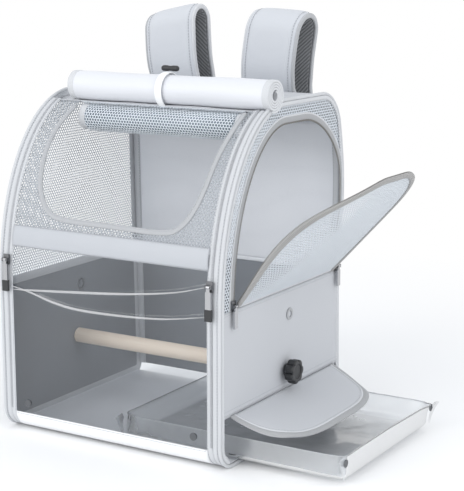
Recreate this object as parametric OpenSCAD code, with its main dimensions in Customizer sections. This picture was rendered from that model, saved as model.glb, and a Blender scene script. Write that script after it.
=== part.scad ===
// Bird travel carrier: an arched soft backpack with a clear front, mesh upper
// walls, an opened side door, a pulled-out tray, a perch and rolled-up covers.
// Millimetres. +Z is up, the front is at -Y, the side door is at +X.
// The origin is on the resting face, midway between the side walls.

/* [Body] */
// Width over the two side walls
body_w = 310; // [290:1:330]
// Height of the crown of the arch
crown_z = 405; // [390:1:428]
// From the origin to the front wall
front_y = 145; // [138:1:155]
// Height at which the front starts to curve back
spring_z = 182; // [160:1:190]
// From the origin to the back edge at the bottom
back_foot_y = 143; // [138:1:150]
// From the origin to the back edge at the top
back_top_y = 133; // [130:1:138]
// Radius of the front bottom corner
toe_r = 28; // [24:1:34]
// Radius of the back bottom corner
heel_r = 14; // [12:1:18]
// Radius of the top back corner
crown_r = 42; // [36:1:48]

/* [Walls] */
// Thickness of the stiffened side and back walls
wall_t = 3; // [2.5:0.1:3.5]
// Thickness of single cloth, mesh and clear sheet
cloth_t = 1.2; // [1:0.1:1.5]
// Thickness of the stiff board in the floor
board_t = 3; // [2.5:0.1:4]
// Depth of the front and roof cloth below the cords
front_recess = 2.5; // [2:0.1:3]

/* [Edges] */
// Size of the cord in each arch edge
cord_w = 4; // [3.5:0.1:4.5]
// Width of the binding beside each cord on the side walls
binding_w = 5; // [4:0.1:6]
// Width of the zip tape on the front face
front_tape_w = 14.5; // [12:0.5:16]
// Width of the zip coil
coil_w = 3.2; // [2.8:0.1:3.6]
// Height of the zip coil above its tape
coil_h = 1.2; // [1:0.1:1.4]

/* [Front] */
// Top of the white sill
sill_top_z = 24; // [20:1:28]
// Bottom of the pale band
band_low_z = 228; // [222:1:232]
// Top of the pale band
band_top_z = 253; // [247:1:256]
// Half width of the mesh opening
win_half_w = 113; // [105:1:116]
// Bottom of the mesh opening
win_low_z = 266; // [263:1:273]
// Radius of the mesh opening's lower corners
win_r = 42; // [30:1:50]
// Width of the binding round the mesh opening
win_binding_w = 6; // [4:0.5:8]
// From the origin to the front edge of the roof cloth
roof_front_y = 42; // [38:1:44]
// Place of the window rivets from the middle
win_rivet_x = 118; // [112:1:122]
// Height of the window rivets
win_rivet_z = 37; // [37:1:48]

/* [Rolls] */
// Outer radius of the rolled cover
cover_r = 17.5; // [16:0.5:19]
// Length of the rolled cover
cover_len = 286; // [270:1:286]
// How far the rolled cover lies off the middle
cover_shift = 7; // [0:1:7]
// From the origin forward to the rolled cover's axis
cover_y = 20; // [18:1:22]
// How far the roof cloth sags under the rolled cover
roof_sag = 8; // [7:0.5:8.5]
// Outer radius of the rolled mesh
mesh_roll_r = 16; // [14:0.5:16]
// Length of the rolled mesh
mesh_roll_len = 204; // [190:1:206]
// How far the rolled mesh lies off the middle
mesh_roll_shift = 6; // [0:1:6]
// From the origin forward to the rolled mesh's axis
mesh_roll_y = 36; // [34:1:38]
// Height of the rolled mesh's axis
mesh_roll_z = 373; // [367:1:373]
// Rise of the spiral from turn to turn
roll_pitch = 4; // [3.6:0.1:4.4]
// Thickness of the rolled layer
roll_layer = 2.6; // [2.2:0.1:2.8]
// Turns of the spiral
roll_turns = 3; // [2:0.5:3]
// Width of the loop round the rolled cover
loop_w = 9; // [8:0.5:12]
// Place of the loop from the middle
loop_x = 5; // [-30:1:20]

/* [Side door] */
// Height of the door's fold line
door_z = 181; // [175:1:187]
// From the arch's edge to the door opening
door_inset = 30; // [27:1:33]
// Radius of the opening's rear top corner
door_rear_r = 80; // [70:1:90]
// From the origin to the opening's rear edge
door_rear_y = 122; // [118:1:123]
// Width of the zip tape round the opening
door_tape_w = 10; // [7:0.5:11]
// Width of the bound edge of the door
door_edge_w = 8; // [6:0.5:10]
// Thickness of the bound edge
edge_t = 3; // [2.6:0.1:3.2]
// Angle at which the door stands open
door_open = 43; // [0:1:80]

/* [Tray and flap] */
// Height of the flap's fold line
flap_z = 61; // [61:1:67]
// From the origin to the slot's front edge
slot_front_y = 126; // [120:1:128]
// From the origin to the slot's rear edge
slot_rear_y = 126; // [120:1:128]
// Length of the flap
flap_len = 82; // [70:1:84]
// Angle at which the flap hangs
flap_droop = 17; // [10:0.5:17]
// Thickness of the tray's clear sheet
tray_t = 1.2; // [1:0.1:1.5]
// Length of the tray
tray_len = 296; // [280:1:297]
// Width of the tray
tray_w = 230; // [216:1:230]
// Height of the tray's walls
tray_h = 29.5; // [24:0.5:29.5]
// How far the tray is pulled out
tray_out = 140; // [0:1:200]
// How far the pinched corners stick out
tray_ear = 13; // [8:0.5:14]
// Where the tray's middle lies behind the origin
tray_y = 5; // [0:1:5]

/* [Perch] */
// Diameter of the perch
perch_d = 19; // [16:0.5:20]
// Height of the perch
perch_z = 84.5; // [80:0.5:98]
// Height of the spare perch place
spare_z = 150.5; // [140:0.5:157]
// Where the perch lies behind the origin
perch_y = 1.5; // [-10:0.5:10]
// Where the spare perch place lies behind the origin
spare_y = 10; // [0:0.5:20]
// Diameter of the knob's stud
stud_d = 6; // [5:0.5:6.5]
// Depth of the stud in the perch
stud_grip = 20; // [12:1:26]
// Outer radius of the knob
knob_r = 15; // [13:0.5:16]
// Length of the knob
knob_len = 15.5; // [15:0.5:18]
// Lobes of the knob
knob_lobes = 7; // [5:1:9]
// Bore of an eyelet
eyelet_bore = 8; // [7:0.5:9]

/* [Zips] */
// Height of the front sliders
slider_z = 212; // [200:1:214]
// Width of a slider
slider_w = 8; // [7:0.5:8.5]
// Length of a slider
slider_len = 12; // [11:0.5:13]
// Length of a pull
pull_len = 25; // [20:1:28]
// Length of the grip at the end of a front pull
grip_len = 13; // [10:1:15]

/* [Shoulder straps] */
// Width of a strap
strap_w = 72; // [60:1:78]
// Distance of the left strap from the middle at the roof
left_strap_x = 74; // [60:1:80]
// Distance of the right strap from the middle at the roof
right_strap_x = 62; // [56:1:74]
// Depth of the left strap's fold
left_loop = 32; // [26:1:40]
// Depth of the right strap's fold
right_loop = 44; // [34:1:48]
// Height of the strap's highest point
strap_top_z = 501; // [480:1:510]
// Thickness of the padding at its crown
pad_t = 8; // [7:0.5:9]
// Thickness of the lining
lining_t = 2; // [1.5:0.1:2.5]
// Width of the lower webbing
web_w = 25; // [20:1:30]
// Distance of the webbing's foot from the middle
web_foot_x = 110; // [90:1:125]

/* [Hidden] */
$fn = 48;
SEAT = 0.3;
FIT = 0.5;
RUN = 0.09;
half_w = body_w / 2;
inner_x = half_w - wall_t;
cord_x = half_w - cord_w;
tape_x = cord_x - front_tape_w;
liner_t = 0.8;
rivet_d = 9;
rivet_t = 0.9;
floor_z = cloth_t + board_t + liner_t;
toe_y = toe_r - front_y;
arch_b = crown_z - spring_z;
crown_y = back_top_y - crown_r;
crown_cz = crown_z - crown_r;
heel_y = back_foot_y - heel_r;

// The straight back edge is the common tangent of the crown and heel corners.
back_dy = crown_y - heel_y;
back_dz = crown_cz - heel_r;
lean = atan2(back_dz, back_dy) - acos((heel_r - crown_r) / norm([back_dy, back_dz]));

ARC_STEPS = 10;
ARCH_STEPS = 36;

function arc(cy, cz, r, a0, a1, n) =
    [for (i = [0:n]) let(a = a0 + (a1 - a0) * i / n) [cy + r * cos(a), cz + r * sin(a)]];

// A point of the arch, moved in by d along its normal. a = 0 is the spring line.
function arch_point(a, d) =
    let(n = [-cos(a) / front_y, sin(a) / arch_b])
    [-front_y * cos(a), spring_z + arch_b * sin(a)] - d * n / norm(n);

function arch(d, a0, a1) =
    [for (i = [0:ARCH_STEPS]) arch_point(a0 + (a1 - a0) * i / ARCH_STEPS, d)];

// The side outline, moved in by d: toe, front, arch, crown, back and heel.
function outline_points(d) = concat(
    arc(toe_y, toe_r, toe_r - d, 270, 180, ARC_STEPS),
    arch(d, 0, 90),
    arc(crown_y, crown_cz, crown_r - d, 90, lean, ARC_STEPS),
    arc(heel_y, heel_r, heel_r - d, lean, -90, ARC_STEPS)
);

module outline(d = 0) polygon(outline_points(d));
module band(d0, d1) difference() { outline(d0); outline(d1); }

// Draws a side-view shape (y to the right, z up) from x0 to x1.
module along_x(x0, x1) translate([x0, 0, 0]) rotate([90, 0, 90]) linear_extrude(x1 - x0) children();

// Draws the same on both sides of the middle.
module both_sides() { children(); mirror([1, 0, 0]) children(); }

// Parts of the side view.
FAR = 2000;
module below(z) translate([-FAR / 2, z - FAR]) square(FAR);
module above(z) translate([-FAR / 2, z]) square(FAR);
module ahead(y) translate([y - FAR, -FAR / 2]) square(FAR);
module behind(y) translate([y, -FAR / 2]) square(FAR);

// Height of the outline, moved in by d, at a given y under its top.
function arch_z(y, d) = spring_z + (arch_b - d) * sin(acos(min(0, y) / (front_y - d)));

pane_d = front_recess;
pane_in = pane_d + cloth_t;

// ---------- floor ----------
module bottom_skin() color("gainsboro")
    translate([-cord_x, toe_y, 0]) cube([2 * cord_x, heel_y - toe_y, cloth_t]);

module base_board() color("dimgray")
    translate([-cord_x, toe_y, cloth_t]) cube([2 * cord_x, heel_y - toe_y, board_t]);

module floor_liner() color("silver")
    along_x(-inner_x + SEAT, inner_x - SEAT)
        intersection() {
            outline(pane_in + SEAT);
            above(floor_z - liner_t);
            below(floor_z);
        }

// ---------- front ----------
module pane(z0, z1) along_x(-tape_x, tape_x)
    intersection() { band(pane_d, pane_in); above(z0); below(z1); ahead(-roof_front_y); }

module front_sill() color("whitesmoke")
    along_x(-tape_x, tape_x)
        intersection() {
            band(pane_d - 1, pane_in - SEAT);
            above(cloth_t);
            below(sill_top_z);
            ahead(toe_y);
        }

// Puts a piece at each lower corner of the window, pointing out of its sheet.
module at_window_rivets() for (s = [-1, 1])
    translate([s * win_rivet_x, -front_y + pane_in, win_rivet_z]) rotate([90, 0, 0]) children();

rivet_shank = 2.6;
rivet_head = 1;
module front_window() color([0.8, 0.85, 0.9, 0.4]) difference() {
    pane(sill_top_z, band_low_z);
    at_window_rivets() translate([0, 0, -1]) cylinder(d = rivet_shank + 0.4, h = cloth_t + 2);
}

// Two rivets at the window's lower corners, and one in the liner by the slot.
module shell_rivets() color("dimgray") {
    at_window_rivets() {
        cylinder(d = rivet_shank, h = cloth_t);
        translate([0, 0, cloth_t]) cylinder(d = rivet_d, h = rivet_head);
        translate([0, 0, -rivet_head]) cylinder(d = rivet_d - 2, h = rivet_head);
    }
    translate([inner_x - rivet_d, -slot_front_y + rivet_d, floor_z]) cylinder(d = rivet_d, h = rivet_t);
}

module front_band() color("lightgray") pane(band_low_z, band_top_z);

// The mesh opening seen from the front, grown by e.
module window_shape(e) {
    w = win_half_w + e;
    r = win_r + e;
    translate([0, win_low_z + win_r]) for (s = [-1, 1])
        translate([s * (win_half_w - win_r), 0]) circle(r, $fn = 64);
    translate([-w, win_low_z + win_r]) square([2 * w, crown_z]);
    translate([-(w - r), win_low_z - e]) square([2 * (w - r), r]);
}

module window_cut(e) rotate([90, 0, 0]) translate([0, 0, roof_front_y]) linear_extrude(front_y) window_shape(e);

module front_mesh() color("lightsteelblue") difference() {
    pane(band_top_z, crown_z);
    window_cut(win_binding_w);
}

module window_binding() color("darkgray") difference() {
    intersection() {
        along_x(-tape_x, tape_x)
            intersection() { band(pane_d - 1, pane_in + 1); above(band_top_z); ahead(-roof_front_y); }
        window_cut(win_binding_w);
    }
    window_cut(0);
}

// ---------- rolls ----------
// A rolled sheet seen from its end: a spiral of even rise.
STEP_A = 15;
COVER_END_A = 250;
module spiral(r) {
    inner = [for (a = [0:STEP_A:360 * roll_turns])
        let(q = r - roll_pitch * a / 360) [q * cos(a), q * sin(a)]];
    outer = [for (a = [360 * roll_turns:-STEP_A:0])
        let(q = r - roll_layer - roll_pitch * a / 360) [q * cos(a), q * sin(a)]];
    polygon(concat(inner, outer));
}

loop_t = 1.2;
// The rolled cover rests in the roof's sag with the loop between them.
roof_d = pane_d + roof_sag;
cover_seat = arch_point(acos(cover_y / front_y), roof_d - cover_r - loop_t - 2 * SEAT);

module cover_roll() color("white")
    along_x(cover_shift - cover_len / 2, cover_shift + cover_len / 2)
        translate(cover_seat) rotate(COVER_END_A) spiral(cover_r);

module roll_loop() color("white")
    along_x(loop_x - loop_w / 2, loop_x + loop_w / 2)
        translate(cover_seat) difference() {
            circle(cover_r + SEAT + loop_t);
            circle(cover_r + SEAT);
        }

toggle_d = 7;
toggle_len = 24;
toggle_shift = 12;
toggle_lean = 20;
module roll_toggle() color("black")
    translate([loop_x - toggle_shift, cover_seat[0], cover_seat[1]])
        rotate([-toggle_lean, 0, 0])
            translate([0, 0, cover_r + loop_t + 2 * SEAT + toggle_d / 2])
                rotate([0, 90, 0]) cylinder(d = toggle_d, h = toggle_len);

// The tail runs from the roll's top to the edge of the roof cloth.
tail_foot = [-mesh_roll_y - 1, mesh_roll_z + mesh_roll_r - 0.5];
tail_head = [-roof_front_y, arch_z(-roof_front_y, 0) - pane_in - SEAT];
module mesh_roll() color("lightsteelblue")
    along_x(mesh_roll_shift - mesh_roll_len / 2, mesh_roll_shift + mesh_roll_len / 2) {
        translate([-mesh_roll_y, mesh_roll_z]) rotate(90) spiral(mesh_roll_r);
        polygon([tail_foot, tail_head, tail_head - [0, cloth_t], tail_foot - [0, cloth_t]]);
    }

// ---------- roof and back ----------
// The roof cloth dips steeply at its front edge and rises slowly to the rear.
roof_lip = 14;
roof_rise = 45;
ROOF_STEPS = 48;
function smooth(t) = let(u = max(0, min(1, t))) u * u * (3 - 2 * u);
function roof_dip(y) = roof_sag * min(smooth((y + roof_front_y) / roof_lip), smooth((crown_y - y) / roof_rise));
function roof_edge(e, order) = [for (i = order)
    let(y = -roof_front_y + (crown_y + roof_front_y) * pow(i / ROOF_STEPS, 1.5))
    [y, arch_z(y, 0) - pane_d - roof_dip(y) - e]];
module roof_panel() color("lightgray") along_x(-cord_x, cord_x) {
    polygon(concat(roof_edge(0, [0:ROOF_STEPS]), roof_edge(cloth_t, [ROOF_STEPS:-1:0])));
    intersection() { band(pane_d, pane_in); behind(crown_y); above(crown_cz); }
}

// The part of a band behind the shell, from the heel up to the crown corner.
module back_band(d0, d1) intersection() {
    band(d0, d1);
    below(crown_cz);
    union() {
        behind(heel_y);
        intersection() { behind(0); above(heel_r); }
    }
}

back_recess = 0.5;
corner_w = 9;
module back_panel() color("lightgray") along_x(-cord_x, cord_x) back_band(back_recess, back_recess + wall_t);

module corner_binding() along_x(cord_x - corner_w, cord_x)
    intersection() {
        back_band(back_recess + wall_t, back_recess + wall_t + cloth_t);
        above(heel_r);
    }

module back_right_binding() color("silver") corner_binding();
module back_left_binding() color("silver") mirror([1, 0, 0]) corner_binding();

// ---------- side walls ----------
edge_d = cord_w + binding_w;

module perch_holes() for (p = [[perch_y, perch_z], [spare_y, spare_z]])
    translate([inner_x - 5, p[0], p[1]]) rotate([0, 90, 0]) cylinder(d = eyelet_bore + 2, h = wall_t + 10);

module lower_wall(z0, z1) difference() {
    along_x(inner_x, half_w) intersection() { outline(edge_d); above(z0); below(z1); }
    perch_holes();
}

module left_lower_wall() color("lightgray") mirror([1, 0, 0]) lower_wall(edge_d, door_z);
module right_lower_wall() color("lightgray") lower_wall(flap_z + SEAT, door_z - SEAT);

mesh_x = half_w - 2;
module upper_wall() intersection() { outline(edge_d); above(door_z); }
module left_mesh() color("lightsteelblue") mirror([1, 0, 0]) along_x(mesh_x, mesh_x + cloth_t) upper_wall();

// The door opening seen from the side, grown by e: parallel to the arch in
// front and above, with a round rear top corner.
function door_points(e) =
    let(d = door_inset - e, top = crown_z - d, a0 = asin((door_z - spring_z) / arch_b))
    concat(
        [[arch_point(a0, d)[0], door_z]],
        [for (i = [1:ARCH_STEPS]) arch_point(a0 + (90 - a0) * i / ARCH_STEPS, d)],
        arc(door_rear_y - door_rear_r, crown_z - door_inset - door_rear_r, door_rear_r + e, 90, 0, 14),
        [[door_rear_y + e, door_z]]
    );
module door_shape(e) intersection() { polygon(door_points(e)); above(door_z); }

module right_mesh() color("lightsteelblue")
    along_x(mesh_x, mesh_x + cloth_t) difference() {
        upper_wall();
        door_shape(door_tape_w);
    }

module door_opening_zip() color("gray")
    along_x(inner_x, half_w) difference() {
        intersection() { door_shape(door_tape_w); outline(cord_w); }
        door_shape(0);
    }

module left_wall_rail() color("silver") mirror([1, 0, 0])
    along_x(inner_x - rail_t, inner_x)
        intersection() {
            outline(edge_d);
            above(door_z - rail_w / 2);
            below(door_z + rail_w / 2);
        }
rail_t = 1.5;
rail_w = 10;

// ---------- arch edges ----------
module arch_cord() along_x(cord_x, half_w) band(0, cord_w);
module left_cord() color("whitesmoke") mirror([1, 0, 0]) arch_cord();
module right_cord() color("whitesmoke") arch_cord();

module left_binding() color("gainsboro") mirror([1, 0, 0])
    along_x(inner_x, half_w - 0.5) band(cord_w, edge_d);

module right_binding() color("gainsboro")
    along_x(inner_x, half_w - 0.5) difference() {
        band(cord_w, edge_d);
        door_shape(door_tape_w);
        slot_shape();
    }
module slot_shape() translate([-slot_front_y, cord_w - 1])
    square([slot_front_y + slot_rear_y, flap_z - cord_w]);

// The front zip: its tape, and the coil that stands up from it.
coil_x = tape_x + 4;
module front_zip() {
    along_x(tape_x, cord_x) difference() {
        intersection() { band(pane_d - 1, pane_in); above(cloth_t); ahead(-roof_front_y); }
        intersection() { below(toe_r); behind(toe_y); }
    }
    along_x(coil_x, coil_x + coil_w)
        intersection() { band(pane_d - 1 - coil_h, pane_in); above(toe_r); ahead(-roof_front_y); }
}
module left_front_zip() color("whitesmoke") mirror([1, 0, 0]) front_zip();
module right_front_zip() color("whitesmoke") front_zip();

// ---------- perch ----------
module eyelet() {
    r = eyelet_bore / 2;
    rotate([0, 90, 0]) rotate_extrude() {
        translate([r, -0.8]) square([3.2, 0.8]);
        translate([r, 0]) square([0.8, wall_t]);
        translate([r, wall_t]) square([3.2, 0.8]);
    }
}
module eyelets() color("silver") both_sides()
    for (p = [[perch_y, perch_z], [spare_y, spare_z]]) translate([inner_x, p[0], p[1]]) eyelet();

perch_end = inner_x - 0.8 - SEAT;
module perch() color("burlywood") difference() {
    translate([-perch_end, perch_y, perch_z]) rotate([0, 90, 0])
        cylinder(d = perch_d, h = 2 * perch_end, $fn = 64);
    both_sides() translate([perch_end - stud_grip - 2, perch_y, perch_z])
        rotate([0, 90, 0]) cylinder(d = stud_d + 2 * RUN, h = stud_grip + 5);
}

knob_x = half_w + 0.8 + SEAT;
hub_r = 8;
hub_len = 4.5;
lobe_r = 3.5;
stud_seat = 11;
module knob() translate([knob_x, perch_y, perch_z]) rotate([0, 90, 0]) difference() {
    union() {
        cylinder(r = hub_r, h = hub_len);
        translate([0, 0, hub_len]) linear_extrude(knob_len - hub_len) {
            circle(knob_r - lobe_r);
            for (i = [0:knob_lobes - 1]) rotate(360 * i / knob_lobes) translate([knob_r - lobe_r, 0]) circle(lobe_r);
        }
    }
    translate([0, 0, -1]) cylinder(d = stud_d, h = stud_seat + 1);
    translate([0, 0, knob_len - 1.5]) cylinder(r = knob_r - 6, h = 2);
}
module right_knob() color("black") knob();
module left_knob() color("black") mirror([1, 0, 0]) knob();

module stud() translate([perch_end - stud_grip, perch_y, perch_z]) rotate([0, 90, 0])
    cylinder(d = stud_d, h = knob_x + stud_seat - perch_end + stud_grip);
module right_stud() color("silver") stud();
module left_stud() color("silver") mirror([1, 0, 0]) stud();

// ---------- side door ----------
// The door and the flap fold on lines just outside the wall's face.
fold_x = half_w + 0.2;
leaf_x = half_w - edge_t / 2;
door_hem = 3.5;
leaf_gap = 1;
module door_place() translate([fold_x, 0, door_z]) rotate([0, door_open, 0]) translate([-fold_x, 0, -door_z])
    children();

module leaf_field() intersection() { door_shape(-leaf_gap - door_edge_w); above(door_z + door_hem); }
module side_door_mesh() color("lightsteelblue") door_place()
    along_x(leaf_x - cloth_t / 2, leaf_x + cloth_t / 2) leaf_field();

module side_door_binding() color("silver") door_place()
    along_x(leaf_x - edge_t / 2, leaf_x + edge_t / 2) difference() {
        intersection() { door_shape(-leaf_gap); above(door_z + SEAT); }
        leaf_field();
    }

// ---------- tray flap ----------
module flap_place() translate([fold_x, flap_mid, flap_z]) rotate([0, flap_droop, 0]) children();

// The flap seen from above, grown by e: a blunt rounded tongue.
flap_half = (slot_front_y + slot_rear_y) / 2 - 2;
flap_mid = (slot_rear_y - slot_front_y) / 2;
FLAP_STEPS = 40;
module flap_shape(e) polygon(concat(
    [[0, -flap_half - e]],
    [for (i = [0:FLAP_STEPS])
        let(u = -cos(180 * i / FLAP_STEPS))
        [(flap_len + e) * pow(max(0, 1 - pow(abs(u), 4)), 1 / 2.2), u * (flap_half + e)]],
    [[0, flap_half + e]]
));

flap_edge_w = 9;
flap_t = 2;
module tray_flap() color("lightgray") flap_place() translate([0, 0, -flap_t / 2])
    linear_extrude(flap_t) intersection() { flap_shape(-flap_edge_w); behind_fold(); }

module tray_flap_zip() color("darkgray") flap_place() translate([0, 0, -edge_t / 2])
    linear_extrude(edge_t) intersection() {
        difference() { flap_shape(0); flap_shape(-flap_edge_w); }
        behind_fold();
    }
module behind_fold() translate([SEAT, -FAR / 2]) square(FAR);

// ---------- tray ----------
tray_z = floor_z + SEAT;
tray_x1 = half_w - wall_t - 1 + tray_out;
tray_x0 = tray_x1 - tray_len;
module tray_sheet() color([0.85, 0.9, 0.95, 0.5]) translate([tray_x0, tray_y - tray_w / 2, tray_z]) {
    difference() {
        cube([tray_len, tray_w, tray_h]);
        translate([tray_t, tray_t, tray_t]) cube([tray_len - 2 * tray_t, tray_w - 2 * tray_t, tray_h]);
    }
    // Each corner's spare sheet is pinched flat into an ear beside the end wall.
    for (x = [0, tray_len - 2 * tray_t]) translate([x, 0, 0]) {
        tray_ear_shape();
        translate([0, tray_w, 0]) mirror([0, 1, 0]) tray_ear_shape();
    }
}
module tray_ear_shape() along_x(0, 2 * tray_t)
    polygon([[0, 1], [-tray_ear, tray_h], [tray_t, tray_h], [tray_t, 1]]);

module tray_rivets() color("dimgray")
    for (x = [tray_x0 - rivet_t, tray_x1], s = [-1, 1])
        translate([x, tray_y + s * (tray_w / 2 - 1), tray_z + tray_h - 7])
            rotate([0, 90, 0]) cylinder(d = rivet_d, h = rivet_t);

// ---------- zip sliders and pulls ----------
// A slider lies flat with its travel along z and faces -y. Two cheeks hold the
// pin that the pull swings on.
pin_d = 1.6;
cheek_t = 1.4;
slider_t = 2;
pin_out = slider_t + 2.2;
module slider() {
    translate([-slider_w / 2, -slider_t, -slider_len / 2]) cube([slider_w, slider_t, slider_len]);
    for (s = [-1, 1]) translate([s * (slider_w / 2 - cheek_t / 2) - cheek_t / 2, -slider_t - 3.6, -2])
        cube([cheek_t, 3.6 + 0.1, 4]);
    translate([-slider_w / 2 + 0.1, -pin_out, 0]) rotate([0, 90, 0]) cylinder(d = pin_d, h = slider_w - 0.2);
}

pull_t = 1.8;
pull_w = slider_w - 2 * cheek_t - 2 * FIT;
module pull() difference() {
    union() {
        translate([-pull_w / 2, -pin_out, 0]) rotate([0, 90, 0]) cylinder(d = pull_t + 1.8, h = pull_w);
        translate([-pull_w / 2, -pin_out - pull_t / 2, -6]) cube([pull_w, pull_t, 6]);
        translate([-slider_w / 2 + 0.5, -pin_out - pull_t / 2, -pull_len]) cube([slider_w - 1, pull_t, pull_len - 5]);
    }
    translate([-slider_w, -pin_out, 0]) rotate([0, 90, 0]) cylinder(d = pin_d + 2 * RUN, h = 2 * slider_w);
}
module grip() translate([-slider_w / 2 - 0.2, -pin_out - 1.6, -pull_len - grip_len])
    cube([slider_w + 0.4, 3.2, grip_len]);

front_slider_y = -front_y + pane_d - 1 - coil_h - RUN;
module at_front(s) translate([s * (coil_x + coil_w / 2), front_slider_y, slider_z]) children();

module front_left_slider() color("dimgray") at_front(-1) slider();
module front_left_pull() color("gray") at_front(-1) pull();
module front_left_grip() color("black") at_front(-1) grip();
module front_right_slider() color("dimgray") at_front(1) slider();
module front_right_pull() color("gray") at_front(1) pull();
module front_right_grip() color("black") at_front(1) grip();

module at_side(y, z) translate([half_w + SEAT, y, z]) rotate([0, 0, 90]) children();
door_front_y = door_points(door_tape_w / 2)[0][0];
door_back_y = door_rear_y + door_tape_w / 2;
slider_foot_z = door_z + slider_len / 2;
module door_front_slider() color("dimgray") at_side(door_front_y, slider_foot_z) slider();
module door_front_pull() color("gray") at_side(door_front_y, slider_foot_z) pull();
module door_rear_slider() color("dimgray") at_side(door_back_y, slider_foot_z) slider();
module door_rear_pull() color("gray") at_side(door_back_y, slider_foot_z) pull();

// ---------- shoulder straps ----------
// A strap rises from the back panel, leans over the crown corner, folds over at
// the top and hangs down behind. Its path is in the side view.
strap_root_z = 327;
strap_tail_z = 214;
strap_gap = 0.8;
lean_y = 113;
lean_rise = 22;
lean_z = crown_z + lean_rise;
rise_y = 110;
rise_up = 45;
rise_z = crown_z + rise_up;
fall_top_z = 439;
fall_belly = 12;
tail_gap = 16;
tail_y = back_foot_y + tail_gap;
FALL_STEPS = 8;
function back_y(z) = back_foot_y - 0.5 - (back_foot_y - back_top_y) * (z - heel_r) / (crown_cz - heel_r);
function strap_path(depth) = concat(
    [for (z = [strap_root_z, crown_cz - 4]) [back_y(z) + pad_t + SEAT, z]],
    arc(crown_y, crown_cz, crown_r + pad_t + strap_gap, 12, 52, 4),
    [[lean_y, lean_z], [rise_y, rise_z]],
    arc(rise_y + depth / 2, strap_top_z - depth / 2 - pad_t, depth / 2, 176, 6, 8),
    [for (i = [0:FALL_STEPS])
        let(t = i / FALL_STEPS, z = fall_top_z + t * (strap_tail_z - fall_top_z))
        [(rise_y + depth + 2) * (1 - t) + tail_y * t + fall_belly * sin(180 * t), z]]
);

// Half a pad's section: across the strap and out from the lining.
SECTION = [[-1, 0], [-1, 0.62], [-0.9, 0.8], [-0.6, 0.96], [0, 1], [0.6, 0.96], [0.9, 0.8], [1, 0.62], [1, 0]];
left_lift = 8;
right_lift = 2;
left_swing = 3;
right_swing = 16;
function strap_dir(p, i) = let(a = p[max(0, i - 1)], b = p[min(len(p) - 1, i + 1)]) (b - a) / norm(b - a);

// Twice the area of a section, positive where it runs anticlockwise.
function turn(s) = [for (i = [0:len(s) - 1]) cross(s[i], s[(i + 1) % len(s)])] * [for (p = s) 1];

// Sweeps a section of [across, out] points along the strap's path.
module strap_sweep(depth, side, x0, x1, tilt, section) {
    p = strap_path(depth);
    m = len(section);
    rings = [for (i = [0:len(p) - 1])
        let(d = strap_dir(p, i), out = [-d[1], d[0]], rise = (p[i][1] - crown_z) / (strap_top_z - crown_z),
            share = max(0, min(1, rise)), cx = x0 + (x1 - x0) * share, lift = tilt * share)
        [for (q = section)
            [side * (cx + q[0] * strap_w / 2),
             p[i][0] + out[0] * q[1],
             p[i][1] + out[1] * q[1] - q[0] * lift]]];
    points = [for (r = rings) for (v = r) v];
    n = len(rings);
    walls = [for (i = [0:n - 2]) for (j = [0:m - 1])
        let(a = i * m + j, b = i * m + (j + 1) % m)
        each [[a, b, b + m], [a, b + m, a + m]]];
    ends = [for (j = [1:m - 2]) each [[0, j + 1, j], [(n - 1) * m, (n - 1) * m + j, (n - 1) * m + j + 1]]];
    faces = concat(walls, ends);
    polyhedron(points, side * turn(section) < 0 ? [for (f = faces) [f[0], f[2], f[1]]] : faces);
}

lining_share = 0.92;
module strap_pad(side, depth, x0, x1, tilt)
    strap_sweep(depth, side, x0, x1, tilt, [for (q = SECTION) [q[0], q[1] * pad_t]]);
module strap_lining(side, depth, x0, x1, tilt)
    strap_sweep(depth, side, x0, x1, tilt,
        [for (q = [[1, 1], [1, 0], [-1, 0], [-1, 1]]) [q[0] * lining_share, -SEAT - q[1] * lining_t]]);

module left_strap_pad() color("lightgray") strap_pad(-1, left_loop, left_strap_x, left_strap_x + left_swing, left_lift);
module left_strap_lining() color("dimgray") strap_lining(-1, left_loop, left_strap_x, left_strap_x + left_swing, left_lift);
module right_strap_pad() color("lightgray") strap_pad(1, right_loop, right_strap_x, right_strap_x + right_swing, right_lift);
module right_strap_lining() color("dimgray") strap_lining(1, right_loop, right_strap_x, right_strap_x + right_swing, right_lift);

// Each strap's lower webbing runs from a ladder buckle to a tab on the back panel.
buckle_h = 18;
buckle_t = 4;
buckle_z = strap_tail_z - SEAT - buckle_h;
web_t = 1.5;
web_top_z = buckle_z + 5;
tab_z = 40;
tab_h = 26;
buckle_rim = 4;
slot_h = 3.5;
module buckle(side, x) translate([side * x - web_w / 2 - buckle_rim, tail_y - buckle_t / 2, buckle_z]) difference() {
    cube([web_w + 2 * buckle_rim, buckle_t, buckle_h]);
    for (z = [slot_h - FIT, buckle_h - 2 * slot_h + FIT]) translate([buckle_rim - FIT, -1, z])
        cube([web_w + 2 * FIT, buckle_t + 2, slot_h]);
}
module strap_buckles() color("black") { buckle(-1, left_strap_x); buckle(1, right_strap_x); }

module web(side, x) {
    tab_y = back_y(tab_z) + SEAT;
    hull() {
        translate([side * x - web_w / 2, tail_y - buckle_t / 2 - SEAT - web_t, web_top_z]) cube([web_w, web_t, 1]);
        translate([side * web_foot_x - web_w / 2, tab_y, tab_z + tab_h]) cube([web_w, web_t, 1]);
    }
    translate([side * web_foot_x - web_w / 2, tab_y, tab_z]) cube([web_w, web_t, tab_h + 1]);
}
module strap_webs() color("black") { web(-1, left_strap_x); web(1, right_strap_x); }

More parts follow.
